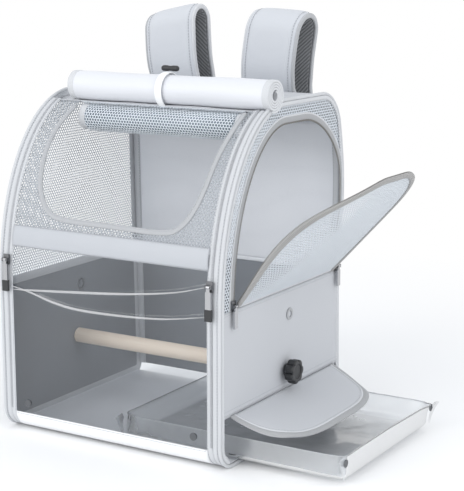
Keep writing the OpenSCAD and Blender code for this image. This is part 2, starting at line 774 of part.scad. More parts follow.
bottom_skin();
base_board();
floor_liner();
shell_rivets();
front_sill();
front_window();
front_band();
front_mesh();
window_binding();
mesh_roll();
cover_roll();
roll_loop();
roll_toggle();
roof_panel();
back_panel();
back_left_binding();
back_right_binding();
left_lower_wall();
left_mesh();
left_wall_rail();
right_lower_wall();
right_mesh();
left_cord();
right_cord();
left_binding();
right_binding();
left_front_zip();
right_front_zip();
door_opening_zip();
eyelets();
perch();
right_knob();
right_stud();
left_knob();
left_stud();
side_door_mesh();
side_door_binding();
tray_flap();
tray_flap_zip();
tray_sheet();
tray_rivets();
front_left_slider();
front_left_pull();
front_left_grip();
front_right_slider();
front_right_pull();
front_right_grip();
door_front_slider();
door_front_pull();
door_rear_slider();
door_rear_pull();
left_strap_pad();
left_strap_lining();
right_strap_pad();
right_strap_lining();
strap_buckles();
strap_webs();
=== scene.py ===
"""Dresses an arched bird travel carrier: cloth, netting, zips, clear sheets, wood and metal.

Lengths are metres. Up is +Z, the clear front faces -Y, and the side door is at +X.
"""

from __future__ import annotations

import logging
import math
from collections.abc import Callable, Iterable, Sequence
from dataclasses import dataclass
from enum import Enum

import bmesh
import bpy
import numpy as np
from mathutils import Matrix, Vector, geometry


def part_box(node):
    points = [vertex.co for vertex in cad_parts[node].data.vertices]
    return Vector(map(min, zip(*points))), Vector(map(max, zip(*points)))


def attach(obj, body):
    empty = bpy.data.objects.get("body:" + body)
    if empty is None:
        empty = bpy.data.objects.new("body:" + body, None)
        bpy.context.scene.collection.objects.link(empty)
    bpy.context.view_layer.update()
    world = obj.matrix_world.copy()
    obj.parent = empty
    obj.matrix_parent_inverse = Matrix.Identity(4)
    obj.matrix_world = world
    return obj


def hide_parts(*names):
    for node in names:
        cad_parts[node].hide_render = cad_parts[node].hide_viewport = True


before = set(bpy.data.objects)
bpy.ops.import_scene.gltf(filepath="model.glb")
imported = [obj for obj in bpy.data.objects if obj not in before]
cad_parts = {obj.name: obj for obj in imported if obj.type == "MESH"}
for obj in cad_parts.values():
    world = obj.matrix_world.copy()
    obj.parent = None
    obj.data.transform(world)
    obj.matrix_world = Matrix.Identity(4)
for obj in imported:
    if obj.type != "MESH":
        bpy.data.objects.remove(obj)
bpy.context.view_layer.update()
LOG = logging.getLogger("carrier")
Array = np.ndarray
MM = 0.001


# ---------------------------------------------------------------- surfaces


@dataclass
class Patch:
    """A surface before it becomes an object.

    Attributes:
        verts: Points, one row each.
        faces: Tuples of vertex numbers.
        uvs: One row per face corner, in metres along and across the surface.
        closed: True where the surface shuts in a volume, so that its outside can be found.
    """

    verts: Array
    faces: list[tuple[int, ...]]
    uvs: Array
    closed: bool = True

    def plus(self, other: "Patch") -> "Patch":
        """Returns this surface and another as one."""
        shift = len(self.verts)
        moved = [tuple(i + shift for i in f) for f in other.faces]
        return Patch(
            np.vstack([self.verts, other.verts]),
            self.faces + moved,
            np.vstack([self.uvs, other.uvs]),
            self.closed and other.closed,
        )


def lattice(points: Array, u: Array, v: Array, loop_u: bool = False, loop_v: bool = False) -> Patch:
    """Joins a grid of points into quads.

    Quad (i, j) has the corners (i, j), (i+1, j), (i+1, j+1) and (i, j+1), counted round where the
    grid closes on itself. A tube, which closes only across, gets flat ends.

    Args:
        points: Array of shape (n, m, 3).
        u: Lengths along the first direction, n of them, or n + 1 where it closes.
        v: Lengths along the second direction, m of them, or m + 1 where it closes.
        loop_u: True where the last row joins the first.
        loop_v: True where the last column joins the first.

    Returns:
        The surface.
    """
    n, m = points.shape[:2]
    i, j = np.meshgrid(np.arange(n - (not loop_u)), np.arange(m - (not loop_v)), indexing="ij")
    i, j = i.ravel(), j.ravel()
    corners = [(i, j), (i + 1, j), (i + 1, j + 1), (i, j + 1)]
    quads = np.stack([(a % n) * m + b % m for a, b in corners], 1)
    uvs = np.stack([np.stack([u[a], v[b]], 1) for a, b in corners], 1).reshape(-1, 2)
    faces = [tuple(q) for q in quads.tolist()]
    if loop_v and not loop_u:
        ends = [tuple(range(m))[::-1], tuple(range((n - 1) * m, n * m))]
        faces += ends
        uvs = np.vstack([uvs, np.zeros((2 * m, 2))])
    return Patch(points.reshape(-1, 3), faces, uvs, loop_v or (loop_u and loop_v))


def lengths(path: Array) -> Array:
    """Returns the distance of each point of a path from its first point, along the path."""
    return np.concatenate([[0.0], np.cumsum(np.linalg.norm(np.diff(path, axis=0), axis=1))])


def unit(rows: Array) -> Array:
    """Returns each row scaled to length one."""
    return rows / np.maximum(np.linalg.norm(rows, axis=1, keepdims=True), 1e-12)


def even(path: Array, step: float) -> Array:
    """Returns a path again with points about one step apart, by straight interpolation."""
    s = lengths(path)
    t = np.linspace(0, s[-1], max(2, round(s[-1] / step) + 1))
    return np.stack([np.interp(t, s, path[:, k]) for k in range(path.shape[1])], 1)


def smooth_path(points: Sequence[Sequence[float]], step: float) -> Array:
    """Returns a smooth path through a few points.

    Each stretch is the cubic a Catmull-Rom spline gives: it leaves a point in the direction that
    joins its two neighbours.

    Args:
        points: The points to pass through.
        step: Spacing of the path's own points.

    Returns:
        The path, evenly spaced.
    """
    p = np.array(points, float)
    ends = np.vstack([2 * p[0] - p[1], p, 2 * p[-1] - p[-2]])
    t = np.linspace(0, 1, 16, endpoint=False)[:, None]
    runs = []
    for a, b, c, d in zip(ends[:-3], ends[1:-2], ends[2:-1], ends[3:]):
        runs.append(0.5 * (2 * b + (c - a) * t + (2 * a - 5 * b + 4 * c - d) * t**2 + (3 * b - a - 3 * c + d) * t**3))
    return even(np.vstack([*runs, p[-1:]]), step)


@dataclass
class Track:
    """A path with two directions at each point, across it and out of what it lies on."""

    centre: Array
    across: Array
    out: Array
    closed: bool = False

    @classmethod
    def on(cls, centre: Array, out: Array, closed: bool = False) -> "Track":
        """Builds a track whose across direction is square to its course and to out."""
        course = np.gradient(centre, axis=0)
        if closed:
            course = np.roll(centre, -1, 0) - np.roll(centre, 1, 0)
        across = unit(np.cross(unit(course), out))
        return cls(centre, across, out, closed)

    def sweep(self, profile: Array, shut: bool = True) -> Patch:
        """Carries a profile along the track.

        A profile point (a, b) goes to centre + a across + b out.

        Args:
            profile: Points (across, out), in metres.
            shut: True where the profile closes on itself.
        """
        grid = (
            self.centre[:, None]
            + profile[None, :, :1] * self.across[:, None]
            + profile[None, :, 1:] * self.out[:, None]
        )
        u, v = lengths(self.centre), lengths(profile)
        if self.closed:
            u = np.append(u, u[-1] + np.linalg.norm(self.centre[0] - self.centre[-1]))
        if shut:
            v = np.append(v, v[-1] + np.linalg.norm(profile[0] - profile[-1]))
        return lattice(grid, u, v, self.closed, shut)

    def flipped(self) -> "Track":
        """Returns the open track with its out direction turned round."""
        return Track(self.centre, self.across, -self.out)

    def shifted(self, across: float, out: float) -> "Track":
        """Returns the track moved sideways and outwards."""
        centre = self.centre + across * self.across + out * self.out
        return Track(centre, self.across, self.out, self.closed)

    def blocks(self, pitch: float, long: float, wide: float, high: float) -> Patch:
        """Sets small pillow-shaped blocks along the track, such as stitches or zip teeth.

        Each block is a low prism of eight points whose top is drawn in, at even steps.

        Args:
            pitch: Distance from block to block.
            long: Size of a block along the track.
            wide: Size across it.
            high: Height over the track.
        """
        s = lengths(self.centre)
        t = np.arange(pitch / 2, s[-1], pitch)
        c, a, o = (np.stack([np.interp(t, s, x[:, k]) for k in range(3)], 1) for x in (self.centre, self.across, self.out))
        o = unit(o)
        along = unit(np.cross(o, a))
        a = unit(np.cross(along, o))
        corner = np.array([[-1, -1, 0], [1, -1, 0], [1, 1, 0], [-1, 1, 0], [-0.7, -0.6, 1], [0.7, -0.6, 1], [0.7, 0.6, 1], [-0.7, 0.6, 1]])
        offset = corner * [long / 2, wide / 2, high]
        verts = (
            c[:, None]
            + offset[None, :, :1] * along[:, None]
            + offset[None, :, 1:2] * a[:, None]
            + offset[None, :, 2:] * o[:, None]
        ).reshape(-1, 3)
        box = np.array([[0, 3, 2, 1], [4, 5, 6, 7], [0, 1, 5, 4], [1, 2, 6, 5], [2, 3, 7, 6], [3, 0, 4, 7]])
        faces = (box[None] + 8 * np.arange(len(t))[:, None, None]).reshape(-1, 4)
        return Patch(verts, [tuple(f) for f in faces.tolist()], np.zeros((faces.size, 2)))


def pill(wide: float, high: float, count: int = 20) -> Array:
    """Returns an oval profile: a superellipse of exponent 3, flat in the middle and round at the sides."""
    a = np.linspace(0, 2 * math.pi, count, endpoint=False)
    c, s = np.cos(a), np.sin(a)
    return np.stack(
        [np.sign(c) * np.abs(c) ** (2 / 3) * wide / 2, np.sign(s) * np.abs(s) ** (2 / 3) * high / 2], 1
    )


def crowned(wide: float, thick: float, crown: float, count: int = 12) -> Array:
    """Returns a strip's profile: a flat base, and a top that rises by a parabola of height crown."""
    a = np.linspace(-1, 1, count)
    top = np.stack([a[::-1] * wide / 2, thick + crown * (1 - a[::-1] ** 2)], 1)
    return np.vstack([[[-wide / 2, 0], [wide / 2, 0]], top])


def netting(
    span_u: tuple[float, float],
    span_v: tuple[float, float],
    place: Callable[[Array, Array], Array],
    keep: Callable[[Array, Array], Array],
    pitch: tuple[float, float] = (4.2 * MM, 3.2 * MM),
    hole: tuple[float, float] = (0.76, 0.74),
) -> Patch:
    """Makes knitted netting: staggered rows of six-sided holes.

    Row lines zigzag, so each cell is a hexagon, and its hole is the cell drawn in towards its middle.
    The strip between the two is six quads.

    Args:
        span_u: First and last place along the rows.
        span_v: First and last place across them.
        place: Gives the points in space for flat places u and v.
        keep: Says which cells to keep, from the places of their middles.
        pitch: Size of a cell along and across the rows.
        hole: Share of the cell that is open, both ways.
    """
    pu, pv = pitch
    rows = math.ceil((span_v[1] - span_v[0]) / pv)
    cols = math.ceil((span_u[1] - span_u[0]) / pu) + 1
    kv, ku = np.meshgrid(np.arange(rows + 1), np.arange(2 * cols + 2), indexing="ij")
    line_u = span_u[0] + (ku - 1) * pu / 2
    line_v = span_v[0] + kv * pv + np.where(ku % 2 == kv % 2, 0.16, -0.16) * pv
    r, c = (x.ravel() for x in np.meshgrid(np.arange(rows), np.arange(cols), indexing="ij"))
    k = 2 * c + r % 2
    k = np.minimum(k, 2 * cols - 1)
    mid_u, mid_v = span_u[0] + k * pu / 2, span_v[0] + (r + 0.5) * pv
    kept = keep(mid_u, mid_v)
    r, k, mid_u, mid_v = r[kept], k[kept], mid_u[kept], mid_v[kept]
    ring = [(r, k), (r, k + 1), (r, k + 2), (r + 1, k + 2), (r + 1, k + 1), (r + 1, k)]
    outer = np.stack([a * (2 * cols + 2) + b for a, b in ring], 1)
    flat_u, flat_v = line_u.ravel(), line_v.ravel()
    in_u = mid_u[:, None] + hole[0] * (flat_u[outer] - mid_u[:, None])
    in_v = mid_v[:, None] + hole[1] * (flat_v[outer] - mid_v[:, None])
    used, outer = np.unique(outer, return_inverse=True)
    outer = outer.reshape(-1, 6)
    all_u = np.concatenate([flat_u[used], in_u.ravel()])
    all_v = np.concatenate([flat_v[used], in_v.ravel()])
    inner = len(used) + np.arange(in_u.size).reshape(-1, 6)
    after = np.roll(np.arange(6), -1)
    quads = np.stack([outer, outer[:, after], inner[:, after], inner], 2).reshape(-1, 4)
    uvs = np.stack([all_u[quads], all_v[quads]], 2).reshape(-1, 2)
    return Patch(place(all_u, all_v), [tuple(q) for q in quads.tolist()], uvs, closed=False)


def within(u: Array, v: Array, outline: Array) -> Array:
    """Says which flat points lie in a closed outline, by counting the edges that a level line crosses."""
    a, b = outline, np.roll(outline, -1, 0)
    spans = (a[None, :, 1] > v[:, None]) != (b[None, :, 1] > v[:, None])
    rise = np.where(np.abs(b[:, 1] - a[:, 1]) < 1e-12, 1e-12, b[:, 1] - a[:, 1])
    cross = a[None, :, 0] + (v[:, None] - a[None, :, 1]) * ((b - a)[None, :, 0] / rise)
    return (spans & (u[:, None] < cross)).sum(1) % 2 == 1


# ---------------------------------------------------------------- finishes


def linear(colour: str) -> tuple[float, float, float, float]:
    """Turns an sRGB hex colour such as "C6C8CB" into linear red, green, blue and one."""
    parts = [int(colour[i : i + 2], 16) / 255 for i in (0, 2, 4)]
    return (*(p / 12.92 if p <= 0.04045 else ((p + 0.055) / 1.055) ** 2.4 for p in parts), 1.0)


def add(tree: bpy.types.NodeTree, kind: str, inputs: dict | None = None, **settings: object) -> bpy.types.Node:
    """Adds a node with its settings, values and links.

    Args:
        tree: The material's node tree.
        kind: The node's type, without "ShaderNode".
        inputs: Socket name or number to a value, or to the output that feeds it.
        **settings: The node's own properties.

    Returns:
        The node.
    """
    node = tree.nodes.new("ShaderNode" + kind)
    for name, value in settings.items():
        setattr(node, name, value)
    for name, value in (inputs or {}).items():
        if isinstance(value, bpy.types.NodeSocket):
            tree.links.new(value, node.inputs[name])
        else:
            node.inputs[name].default_value = value
    return node


class Lay(Enum):
    """What a pattern follows: the piece's own surface, or its place in space."""

    SURFACE = "UV"
    SPACE = "Object"


@dataclass(frozen=True)
class Finish:
    """A material by its common name, with what its surface shows.

    Attributes:
        name: The material's name.
        colour: Its colour as sRGB hex.
        slot: A material slot name; not used.
        shade: A second colour that the pattern mixes in.
        roughness: How matt it is.
        grain: Size of one thread, grain or cell of the pattern, in metres.
        relief: Height of the pattern, in metres.
        contrast: How much of the second colour the pattern brings.
        sheen: Soft light at grazing angles, as cloth has.
        metallic: One for bare metal.
        coat: A clear gloss on top.
        lay: What the pattern follows.
    """

    name: str
    colour: str
    slot: str
    shade: str = "808080"
    roughness: float = 0.8
    grain: float = 1.0 * MM
    relief: float = 0.1 * MM
    contrast: float = 0.2
    sheen: float = 0.0
    metallic: float = 0.0
    coat: float = 0.0
    lay: Lay = Lay.SPACE

    def pattern(self, tree: bpy.types.NodeTree, place: bpy.types.NodeSocket) -> bpy.types.NodeSocket:
        """Returns the pattern, from 0 to 1. The plain one is fine even grit."""
        noise = add(tree, "TexNoise", {"Vector": place, "Scale": 1 / self.grain, "Detail": 2.0})
        return noise.outputs["Fac"]

    def build(self) -> bpy.types.Material:
        """Returns the material, made once: a pattern and a slow drift tint the colour, and lift the surface."""
        if self.name in bpy.data.materials:
            return bpy.data.materials[self.name]
        made = bpy.data.materials.new(self.name)
        made.use_nodes = True
        tree = made.node_tree
        tree.nodes.clear()
        place = add(tree, "TexCoord").outputs[self.lay.value]
        marks = self.pattern(tree, place)
        drift = add(tree, "TexNoise", {"Vector": place, "Scale": 14.0, "Detail": 1.0}).outputs["Fac"]
        share = add(tree, "Math", {0: marks, 1: self.contrast}, operation="MULTIPLY").outputs[0]
        slow = add(tree, "Math", {0: drift, 1: 0.12, 2: share}, operation="MULTIPLY_ADD").outputs[0]
        tint = add(
            tree, "Mix", {"Factor": slow, 6: linear(self.colour), 7: linear(self.shade)}, data_type="RGBA"
        )
        bump = add(tree, "Bump", {"Height": marks, "Distance": self.relief, "Strength": 0.6})
        skin = add(
            tree,
            "BsdfPrincipled",
            {
                "Base Color": tint.outputs[2],
                "Roughness": self.roughness,
                "Metallic": self.metallic,
                "Sheen Weight": self.sheen,
                "Coat Weight": self.coat,
                "Coat Roughness": 0.15,
                "Normal": bump.outputs[0],
            },
        )
        add(tree, "OutputMaterial", {"Surface": skin.outputs[0]})
        return made


@dataclass(frozen=True)
class Weave(Finish):
    """Woven polyester: square threads whose tops catch the light."""

    def pattern(self, tree: bpy.types.NodeTree, place: bpy.types.NodeSocket) -> bpy.types.NodeSocket:
        """Returns thread crowns: near-square cells, bright in the middle."""
        cells = add(
            tree,
            "TexVoronoi",
            {"Vector": place, "Scale": 1 / self.grain, "Randomness": 0.25},
            distance="CHEBYCHEV",
        )
        return cells.outputs["Distance"]


@dataclass(frozen=True)
class Rib(Finish):
    """Grosgrain or zip tape: fine ribs across the strip."""

    lay: Lay = Lay.SURFACE

    def pattern(self, tree: bpy.types.NodeTree, place: bpy.types.NodeSocket) -> bpy.types.NodeSocket:
        """Returns ribs by a wave along the strip. A rib every 1.2 mm or so, coarser than the real thread, so it shows."""
        wave = add(
            tree,
            "TexWave",
            {"Vector": place, "Scale": 0.314 / self.grain, "Distortion": 1.2, "Detail Scale": 2.0},
            bands_direction="X",
        )
        return wave.outputs["Fac"]


@dataclass(frozen=True)
class Twill(Finish):
    """Corded netting: dark diagonal cords with paler gaps."""

    lay: Lay = Lay.SURFACE

    def pattern(self, tree: bpy.types.NodeTree, place: bpy.types.NodeSocket) -> bpy.types.NodeSocket:
        """Returns diagonal bands."""
        wave = add(
            tree,
            "TexWave",
            {"Vector": place, "Scale": 0.314 / self.grain, "Distortion": 0.6},
            bands_direction="DIAGONAL",
        )
        return wave.outputs["Fac"]


@dataclass(frozen=True)
class Timber(Finish):
    """Turned beech: long pale grain along the dowel with small dark flecks."""

    def pattern(self, tree: bpy.types.NodeTree, place: bpy.types.NodeSocket) -> bpy.types.NodeSocket:
        """Returns streaks: noise drawn out twentyfold along the dowel, which lies along X."""
        long = add(tree, "Mapping", {"Vector": place, "Scale": (0.05, 1.0, 1.0)})
        noise = add(tree, "TexNoise", {"Vector": long.outputs[0], "Scale": 1 / self.grain, "Detail": 5.0})
        return noise.outputs["Fac"]


@dataclass(frozen=True)
class Clear(Finish):
    """Flexible clear PVC: it shows what is behind it, mirrors at grazing angles, and is faintly milky.

    Attributes:
        milk: Share of light that the sheet scatters.
        gleam: How much it mirrors, where 1 is plain Fresnel.
    """

    milk: float = 0.06
    gleam: float = 1.0

    def build(self) -> bpy.types.Material:
        """Returns the material: see-through, mixed with gloss by Fresnel and with a little milk."""
        if self.name in bpy.data.materials:
            return bpy.data.materials[self.name]
        made = bpy.data.materials.new(self.name)
        made.use_nodes = True
        tree = made.node_tree
        tree.nodes.clear()
        place = add(tree, "TexCoord").outputs["Object"]
        ripple = add(tree, "TexNoise", {"Vector": place, "Scale": 1 / self.grain, "Detail": 1.5})
        bump = add(
            tree, "Bump", {"Height": ripple.outputs["Fac"], "Distance": self.relief, "Strength": 0.5}
        )
        through = add(tree, "BsdfTransparent", {"Color": linear("F8FAFC")})
        front = add(tree, "BsdfDiffuse", {"Color": linear(self.colour), "Normal": bump.outputs[0]})
        back = add(tree, "BsdfTranslucent", {"Color": linear(self.colour), "Normal": bump.outputs[0]})
        haze = add(tree, "MixShader", {0: 0.5, 1: front.outputs[0], 2: back.outputs[0]})
        body = add(tree, "MixShader", {0: self.milk, 1: through.outputs[0], 2: haze.outputs[0]})
        mirror = add(tree, "BsdfGlossy", {"Roughness": self.roughness, "Normal": bump.outputs[0]})
        edge = add(tree, "Fresnel", {"IOR": 1.53, "Normal": bump.outputs[0]})
        share = add(tree, "Math", {0: edge.outputs[0], 1: self.gleam}, operation="MULTIPLY", use_clamp=True)
        both = add(tree, "MixShader", {0: share.outputs[0], 1: body.outputs[0], 2: mirror.outputs[0]})
        add(tree, "OutputMaterial", {"Surface": both.outputs[0]})
        return made


OXFORD = Weave(
    "oxford polyester, stiffened", "C5C7CB", "shell_cloth", "A4A7AC", 0.75, 0.9 * MM, 0.12 * MM, 0.35, 0.1
)
# Painted shade: a darker copy of the coated lining for the lower walls and the lower back, where the closed lower
# interior lies in shade.
LINING_PAINTED_SHADE = Weave("coated lining, painted shade", "92969C", "shell_cloth", "666A70", 0.5, 1.2 * MM, 0.08 * MM, 0.3)
LINING_PALE = Weave(
    "coated lining, pale", "F2F4F8", "shell_cloth", "B2B6BE", 0.45, 1.2 * MM, 0.05 * MM, 0.25
)
SATIN = Weave(
    "satin polyester, silver", "DDDFE4", "cover_cloth", "C6C9CF", 0.46, 0.8 * MM, 0.04 * MM, 0.2, 0.2
)
BAND = Weave("satin polyester, band", "B7BABF", "pale_band", "A9AEB6", 0.42, 0.8 * MM, 0.04 * MM, 0.25, 0.2)
WHITE = Weave("coated trim, white", "F4F5F6", "white_trim", "D4D6DA", 0.55, 1.0 * MM, 0.05 * MM, 0.2)
BINDING = Rib("grosgrain binding, grey", "B9BBBE", "binding", "8E9093", 0.8, 1.2 * MM, 0.15 * MM, 0.4, 0.2)
BOUND = Rib("grosgrain binding, door", "B7B6B5", "binding", "6E6D6C", 0.85, 1.6 * MM, 0.3 * MM, 0.75, 0.2)
BINDING_PALE = Rib(
    "grosgrain binding, pale", "D8DADD", "binding", "A1A3A7", 0.8, 1.2 * MM, 0.15 * MM, 0.35, 0.2
)
PIPING = Rib("corded piping, pale", "CDCFD2", "piping", "A9ACB0", 0.6, 1.6 * MM, 0.1 * MM, 0.25, 0.1)
TAPE = Rib("zip tape, pale", "D2D4D7", "zip_tape", "A2A5A9", 0.8, 1.0 * MM, 0.1 * MM, 0.35)
TAPE_GREY = Rib("zip tape, grey", "B4B5B7", "zip_tape", "87888A", 0.8, 1.0 * MM, 0.12 * MM, 0.5)
COIL = Finish("nylon zip coil", "C2C4C8", "zip_tape", "8A8C90", 0.4, 0.8 * MM, 0.05 * MM, 0.3)
# Painted shade: a darker copy of the coil for the side door zip, standing in for the shaded groove along it.
COIL_PAINTED_GROOVE_SHADE = Finish("nylon zip coil, painted groove shade", "8B8985", "zip_tape", "5F5D5A", 0.4, 0.8 * MM, 0.05 * MM, 0.3)
# Painted shade: a greyer copy of the netting for the front face, offsetting the key lamp that falls on it.
YARN_FRONT_PAINTED_SHADE = Finish("knitted netting, front, painted shade", "BABEC3", "mesh", "8A9199", 0.7, 0.9 * MM, 0.1 * MM, 0.7, 0.1)
YARN = Finish("knitted netting", "E6EBF0", "mesh", "C2CCD7", 0.7, 0.7 * MM, 0.1 * MM, 0.4, 0.2)
# Painted shade: a darker copy of the netting for the hung door leaf.
YARN_DOOR_PAINTED_SHADE = Finish("knitted netting, door, painted shade", "D6DBE0", "mesh", "B4BDC7", 0.7, 0.7 * MM, 0.1 * MM, 0.4, 0.2)
# Painted shade: a dark solid for the roll's inner turns, standing in for the shade seen through the outer turn's holes.
YARN_INNER_PAINTED_SHADE = Finish(
    "knitted netting, inner turns, painted shade", "8B96A1", "mesh", "66707A", 0.8, 2.0 * MM, 0.1 * MM, 0.5
)
THREAD = Finish("sewing thread", "A9ACB1", "binding", "8A8D92", 0.7, 0.4 * MM, 0.03 * MM, 0.3)
BEECH = Timber("beech dowel", "FFF2E2", "perch_wood", "D6B48F", 0.5, 1.6 * MM, 0.05 * MM, 0.45, coat=0.1)
STEEL = Finish("plated steel", "B8BABD", "metal", "7C7E81", 0.28, 0.5 * MM, 0.01 * MM, 0.3, metallic=1.0)
RIVET = Finish("blackened brass", "77797C", "metal", "4A4C4F", 0.35, 0.5 * MM, 0.02 * MM, 0.5, metallic=1.0)
GUNMETAL = Finish(
    "cast zinc, gunmetal", "8A8B8E", "zip_metal", "4E4F52", 0.3, 0.6 * MM, 0.02 * MM, 0.4, metallic=1.0
)
NICKEL = Finish(
    "cast zinc, nickel", "C4C5C8", "zip_metal", "8B8C90", 0.25, 0.6 * MM, 0.02 * MM, 0.3, metallic=1.0
)
ABS = Finish("moulded ABS, black", "1D1E20", "black_plastic", "34363A", 0.42, 0.5 * MM, 0.03 * MM, 0.5)
RUBBER = Finish(
    "moulded rubber, charcoal", "3A3B3D", "rubber_grip", "242527", 0.7, 0.5 * MM, 0.05 * MM, 0.4
)
BOARD = Finish("fibre board", "5A5D61", "floor_board", "47494D", 0.8, 1.0 * MM, 0.05 * MM, 0.4)
MAT = Weave("wipe-clean floor", "F2F4F8", "floor_liner", "D2D5DA", 0.3, 1.6 * MM, 0.03 * MM, 0.3)
STRAP = Weave(
    "oxford polyester, strap", "CBCED3", "strap_cloth", "AFB3BA", 0.8, 0.9 * MM, 0.12 * MM, 0.3, 0.2
)
CORDED = Twill("corded netting, dark", "6B6C6E", "strap_lining", "B0B2B5", 0.85, 2.6 * MM, 0.5 * MM, 0.75)
WEB = Rib("nylon webbing, black", "242528", "webbing", "3A3C40", 0.75, 1.4 * MM, 0.2 * MM, 0.5)
PVC = Clear(
    "clear PVC, window",
    "F4F7FA",
    "clear_sheet",
    roughness=0.06,
    grain=80 * MM,
    relief=0.6 * MM,
    milk=0.03,
    gleam=1.3,
)
# Painted highlight: a milky white film for ribbons on the window's fold crests, standing in for the light they catch.
PVC_PAINTED_HIGHLIGHT = Clear(
    "clear PVC, painted crease highlight",
    "FFFFFF",
    "clear_sheet",
    roughness=0.3,
    grain=14 * MM,
    relief=0.5 * MM,
    milk=0.62,
    gleam=1.5,
)
PVC_TRAY = Clear(
    "clear PVC, tray",
    "F7F9FB",
    "clear_sheet",
    roughness=0.1,
    grain=30 * MM,
    relief=2.0 * MM,
    milk=0.42,
    gleam=2.0,
)


def bowed(verts: Array) -> Array:
    """Returns points of the shell with its soft upper right wall bowed out towards the rear, by up to 7 mm."""
    x, y, z = verts.T
    rise = np.sin(math.pi * np.clip((z - 181 * MM) / (224 * MM), 0, 1)) ** 1.5
    out = 7 * MM * ease((x - 120 * MM) / (28 * MM)) * ease((y - 10 * MM) / (110 * MM)) * rise
    return np.stack([x + out, y, z], 1)


def make(
    name: str,
    patch: Patch,
    finish: Finish,
    body: str = "shell",
    stands_for: Iterable[str] = (),
    wall: float = 0.0,
    flat: bool = False,
) -> bpy.types.Object:
    """Turns a surface into a piece that rides on a body.

    Args:
        name: The piece's name.
        patch: Its surface.
        finish: Its material.
        body: The body that it moves with.
        stands_for: The solids that it replaces.
        wall: Thickness to give an open surface, or 0.
        flat: True to keep its faces flat.

    Returns:
        The object.
    """
    mesh = bpy.data.meshes.new(name)
    verts = bowed(patch.verts) if body == "shell" else patch.verts
    mesh.from_pydata(verts.tolist(), [], patch.faces)
    layer = mesh.uv_layers.new(name="UVMap")
    layer.data.foreach_set("uv", patch.uvs.astype(np.float32).ravel())
    mesh.validate()
    if patch.closed:
        work = bmesh.new()
        work.from_mesh(mesh)
        bmesh.ops.recalc_face_normals(work, faces=work.faces)
        work.to_mesh(mesh)
        work.free()
    mesh.polygons.foreach_set("use_smooth", [not flat] * len(mesh.polygons))
    if not flat:
        mesh.set_sharp_from_angle(angle=math.radians(42))
    mesh.materials.append(finish.build())
    piece = bpy.data.objects.new(name, mesh)
    bpy.context.scene.collection.objects.link(piece)
    if wall:
        solid = piece.modifiers.new("wall", "SOLIDIFY")
        solid.thickness = wall
        solid.offset = 0.0
    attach(piece, body)
    if stands_for:
        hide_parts(*stands_for)
    LOG.info("%s: %d faces on %s", name, len(mesh.polygons), body)
    return piece


def dress(finish: Finish, *nodes: str) -> None:
    """Gives carried-over solids their finish."""
    for node in nodes:
        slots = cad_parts[node].data.materials
        slots.clear()
        slots.append(finish.build())


def cut_flat(
    outline: Array,
    place: Callable[[Array, Array], Array],
    holes: Sequence[Array] = (),
    step: float = 8 * MM,
) -> Patch:
    """Makes an open sheet of any outline, with holes, by a constrained Delaunay triangulation.

    Even inner points are laid over the outline first, so that the sheet can curve.

    Args:
        outline: Closed outline, flat places u and v.
        place: Gives the points in space for flat places u and v.
        holes: Closed outlines of the holes.
        step: Spacing of the inner points.

    Returns:
        The sheet.
    """
    low, high = outline.min(0) + step / 2, outline.max(0)
    gu, gv = np.meshgrid(np.arange(low[0], high[0], step), np.arange(low[1], high[1], step))
    gu, gv = gu.ravel(), gv.ravel()
    inside = within(gu, gv, outline)
    for hole in holes:
        inside &= ~within(gu, gv, hole)
    rings = [outline, *holes]
    flat = np.vstack([*rings, np.stack([gu, gv], 1)[inside]])
    edges, start = [], 0
    for ring in rings:
        n = len(ring)
        edges += [(start + i, start + (i + 1) % n) for i in range(n)]
        start += n
    result = geometry.delaunay_2d_cdt([Vector(p) for p in flat.tolist()], edges, [], 4, 1e-6)
    at = np.array([tuple(p) for p in result[0]])
    faces = [tuple(f) for f in result[2]]
    return Patch(place(at[:, 0], at[:, 1]), faces, at[np.array(faces).ravel()], closed=False)


def circle(cu: float, cv: float, r: float, count: int = 28) -> Array:
    """Returns a flat circle."""
    a = np.linspace(0, 2 * math.pi, count, endpoint=False)
    return np.stack([cu + r * np.cos(a), cv + r * np.sin(a)], 1)


def ease(t: Array) -> Array:
    """Returns a smooth step: 3t^2 - 2t^3 between 0 and 1, level outside."""
    u = np.clip(t, 0, 1)
    return u * u * (3 - 2 * u)


def lathe(profile: Array, axis: Callable[[Array, Array, Array], Array], count: int = 48) -> Patch:
    """Turns a profile of (distance along, radius) about a line.

    Args:
        profile: Points from pole to pole, with radius 0 at both.
        axis: Gives points in space for a distance along the line and two distances across it.
        count: Steps round.
    """
    a = np.linspace(0, 2 * math.pi, count, endpoint=False)
    r = np.maximum(profile[:, 1:], 1e-5)
    grid = axis(np.repeat(profile[:, :1], count, 1), r * np.cos(a), r * np.sin(a))
    return lattice(grid, lengths(profile), np.linspace(0, 2 * math.pi * r.max(), count + 1), loop_v=True)


# ---------------------------------------------------------------- shell

THREAD_W = 0.5 * MM


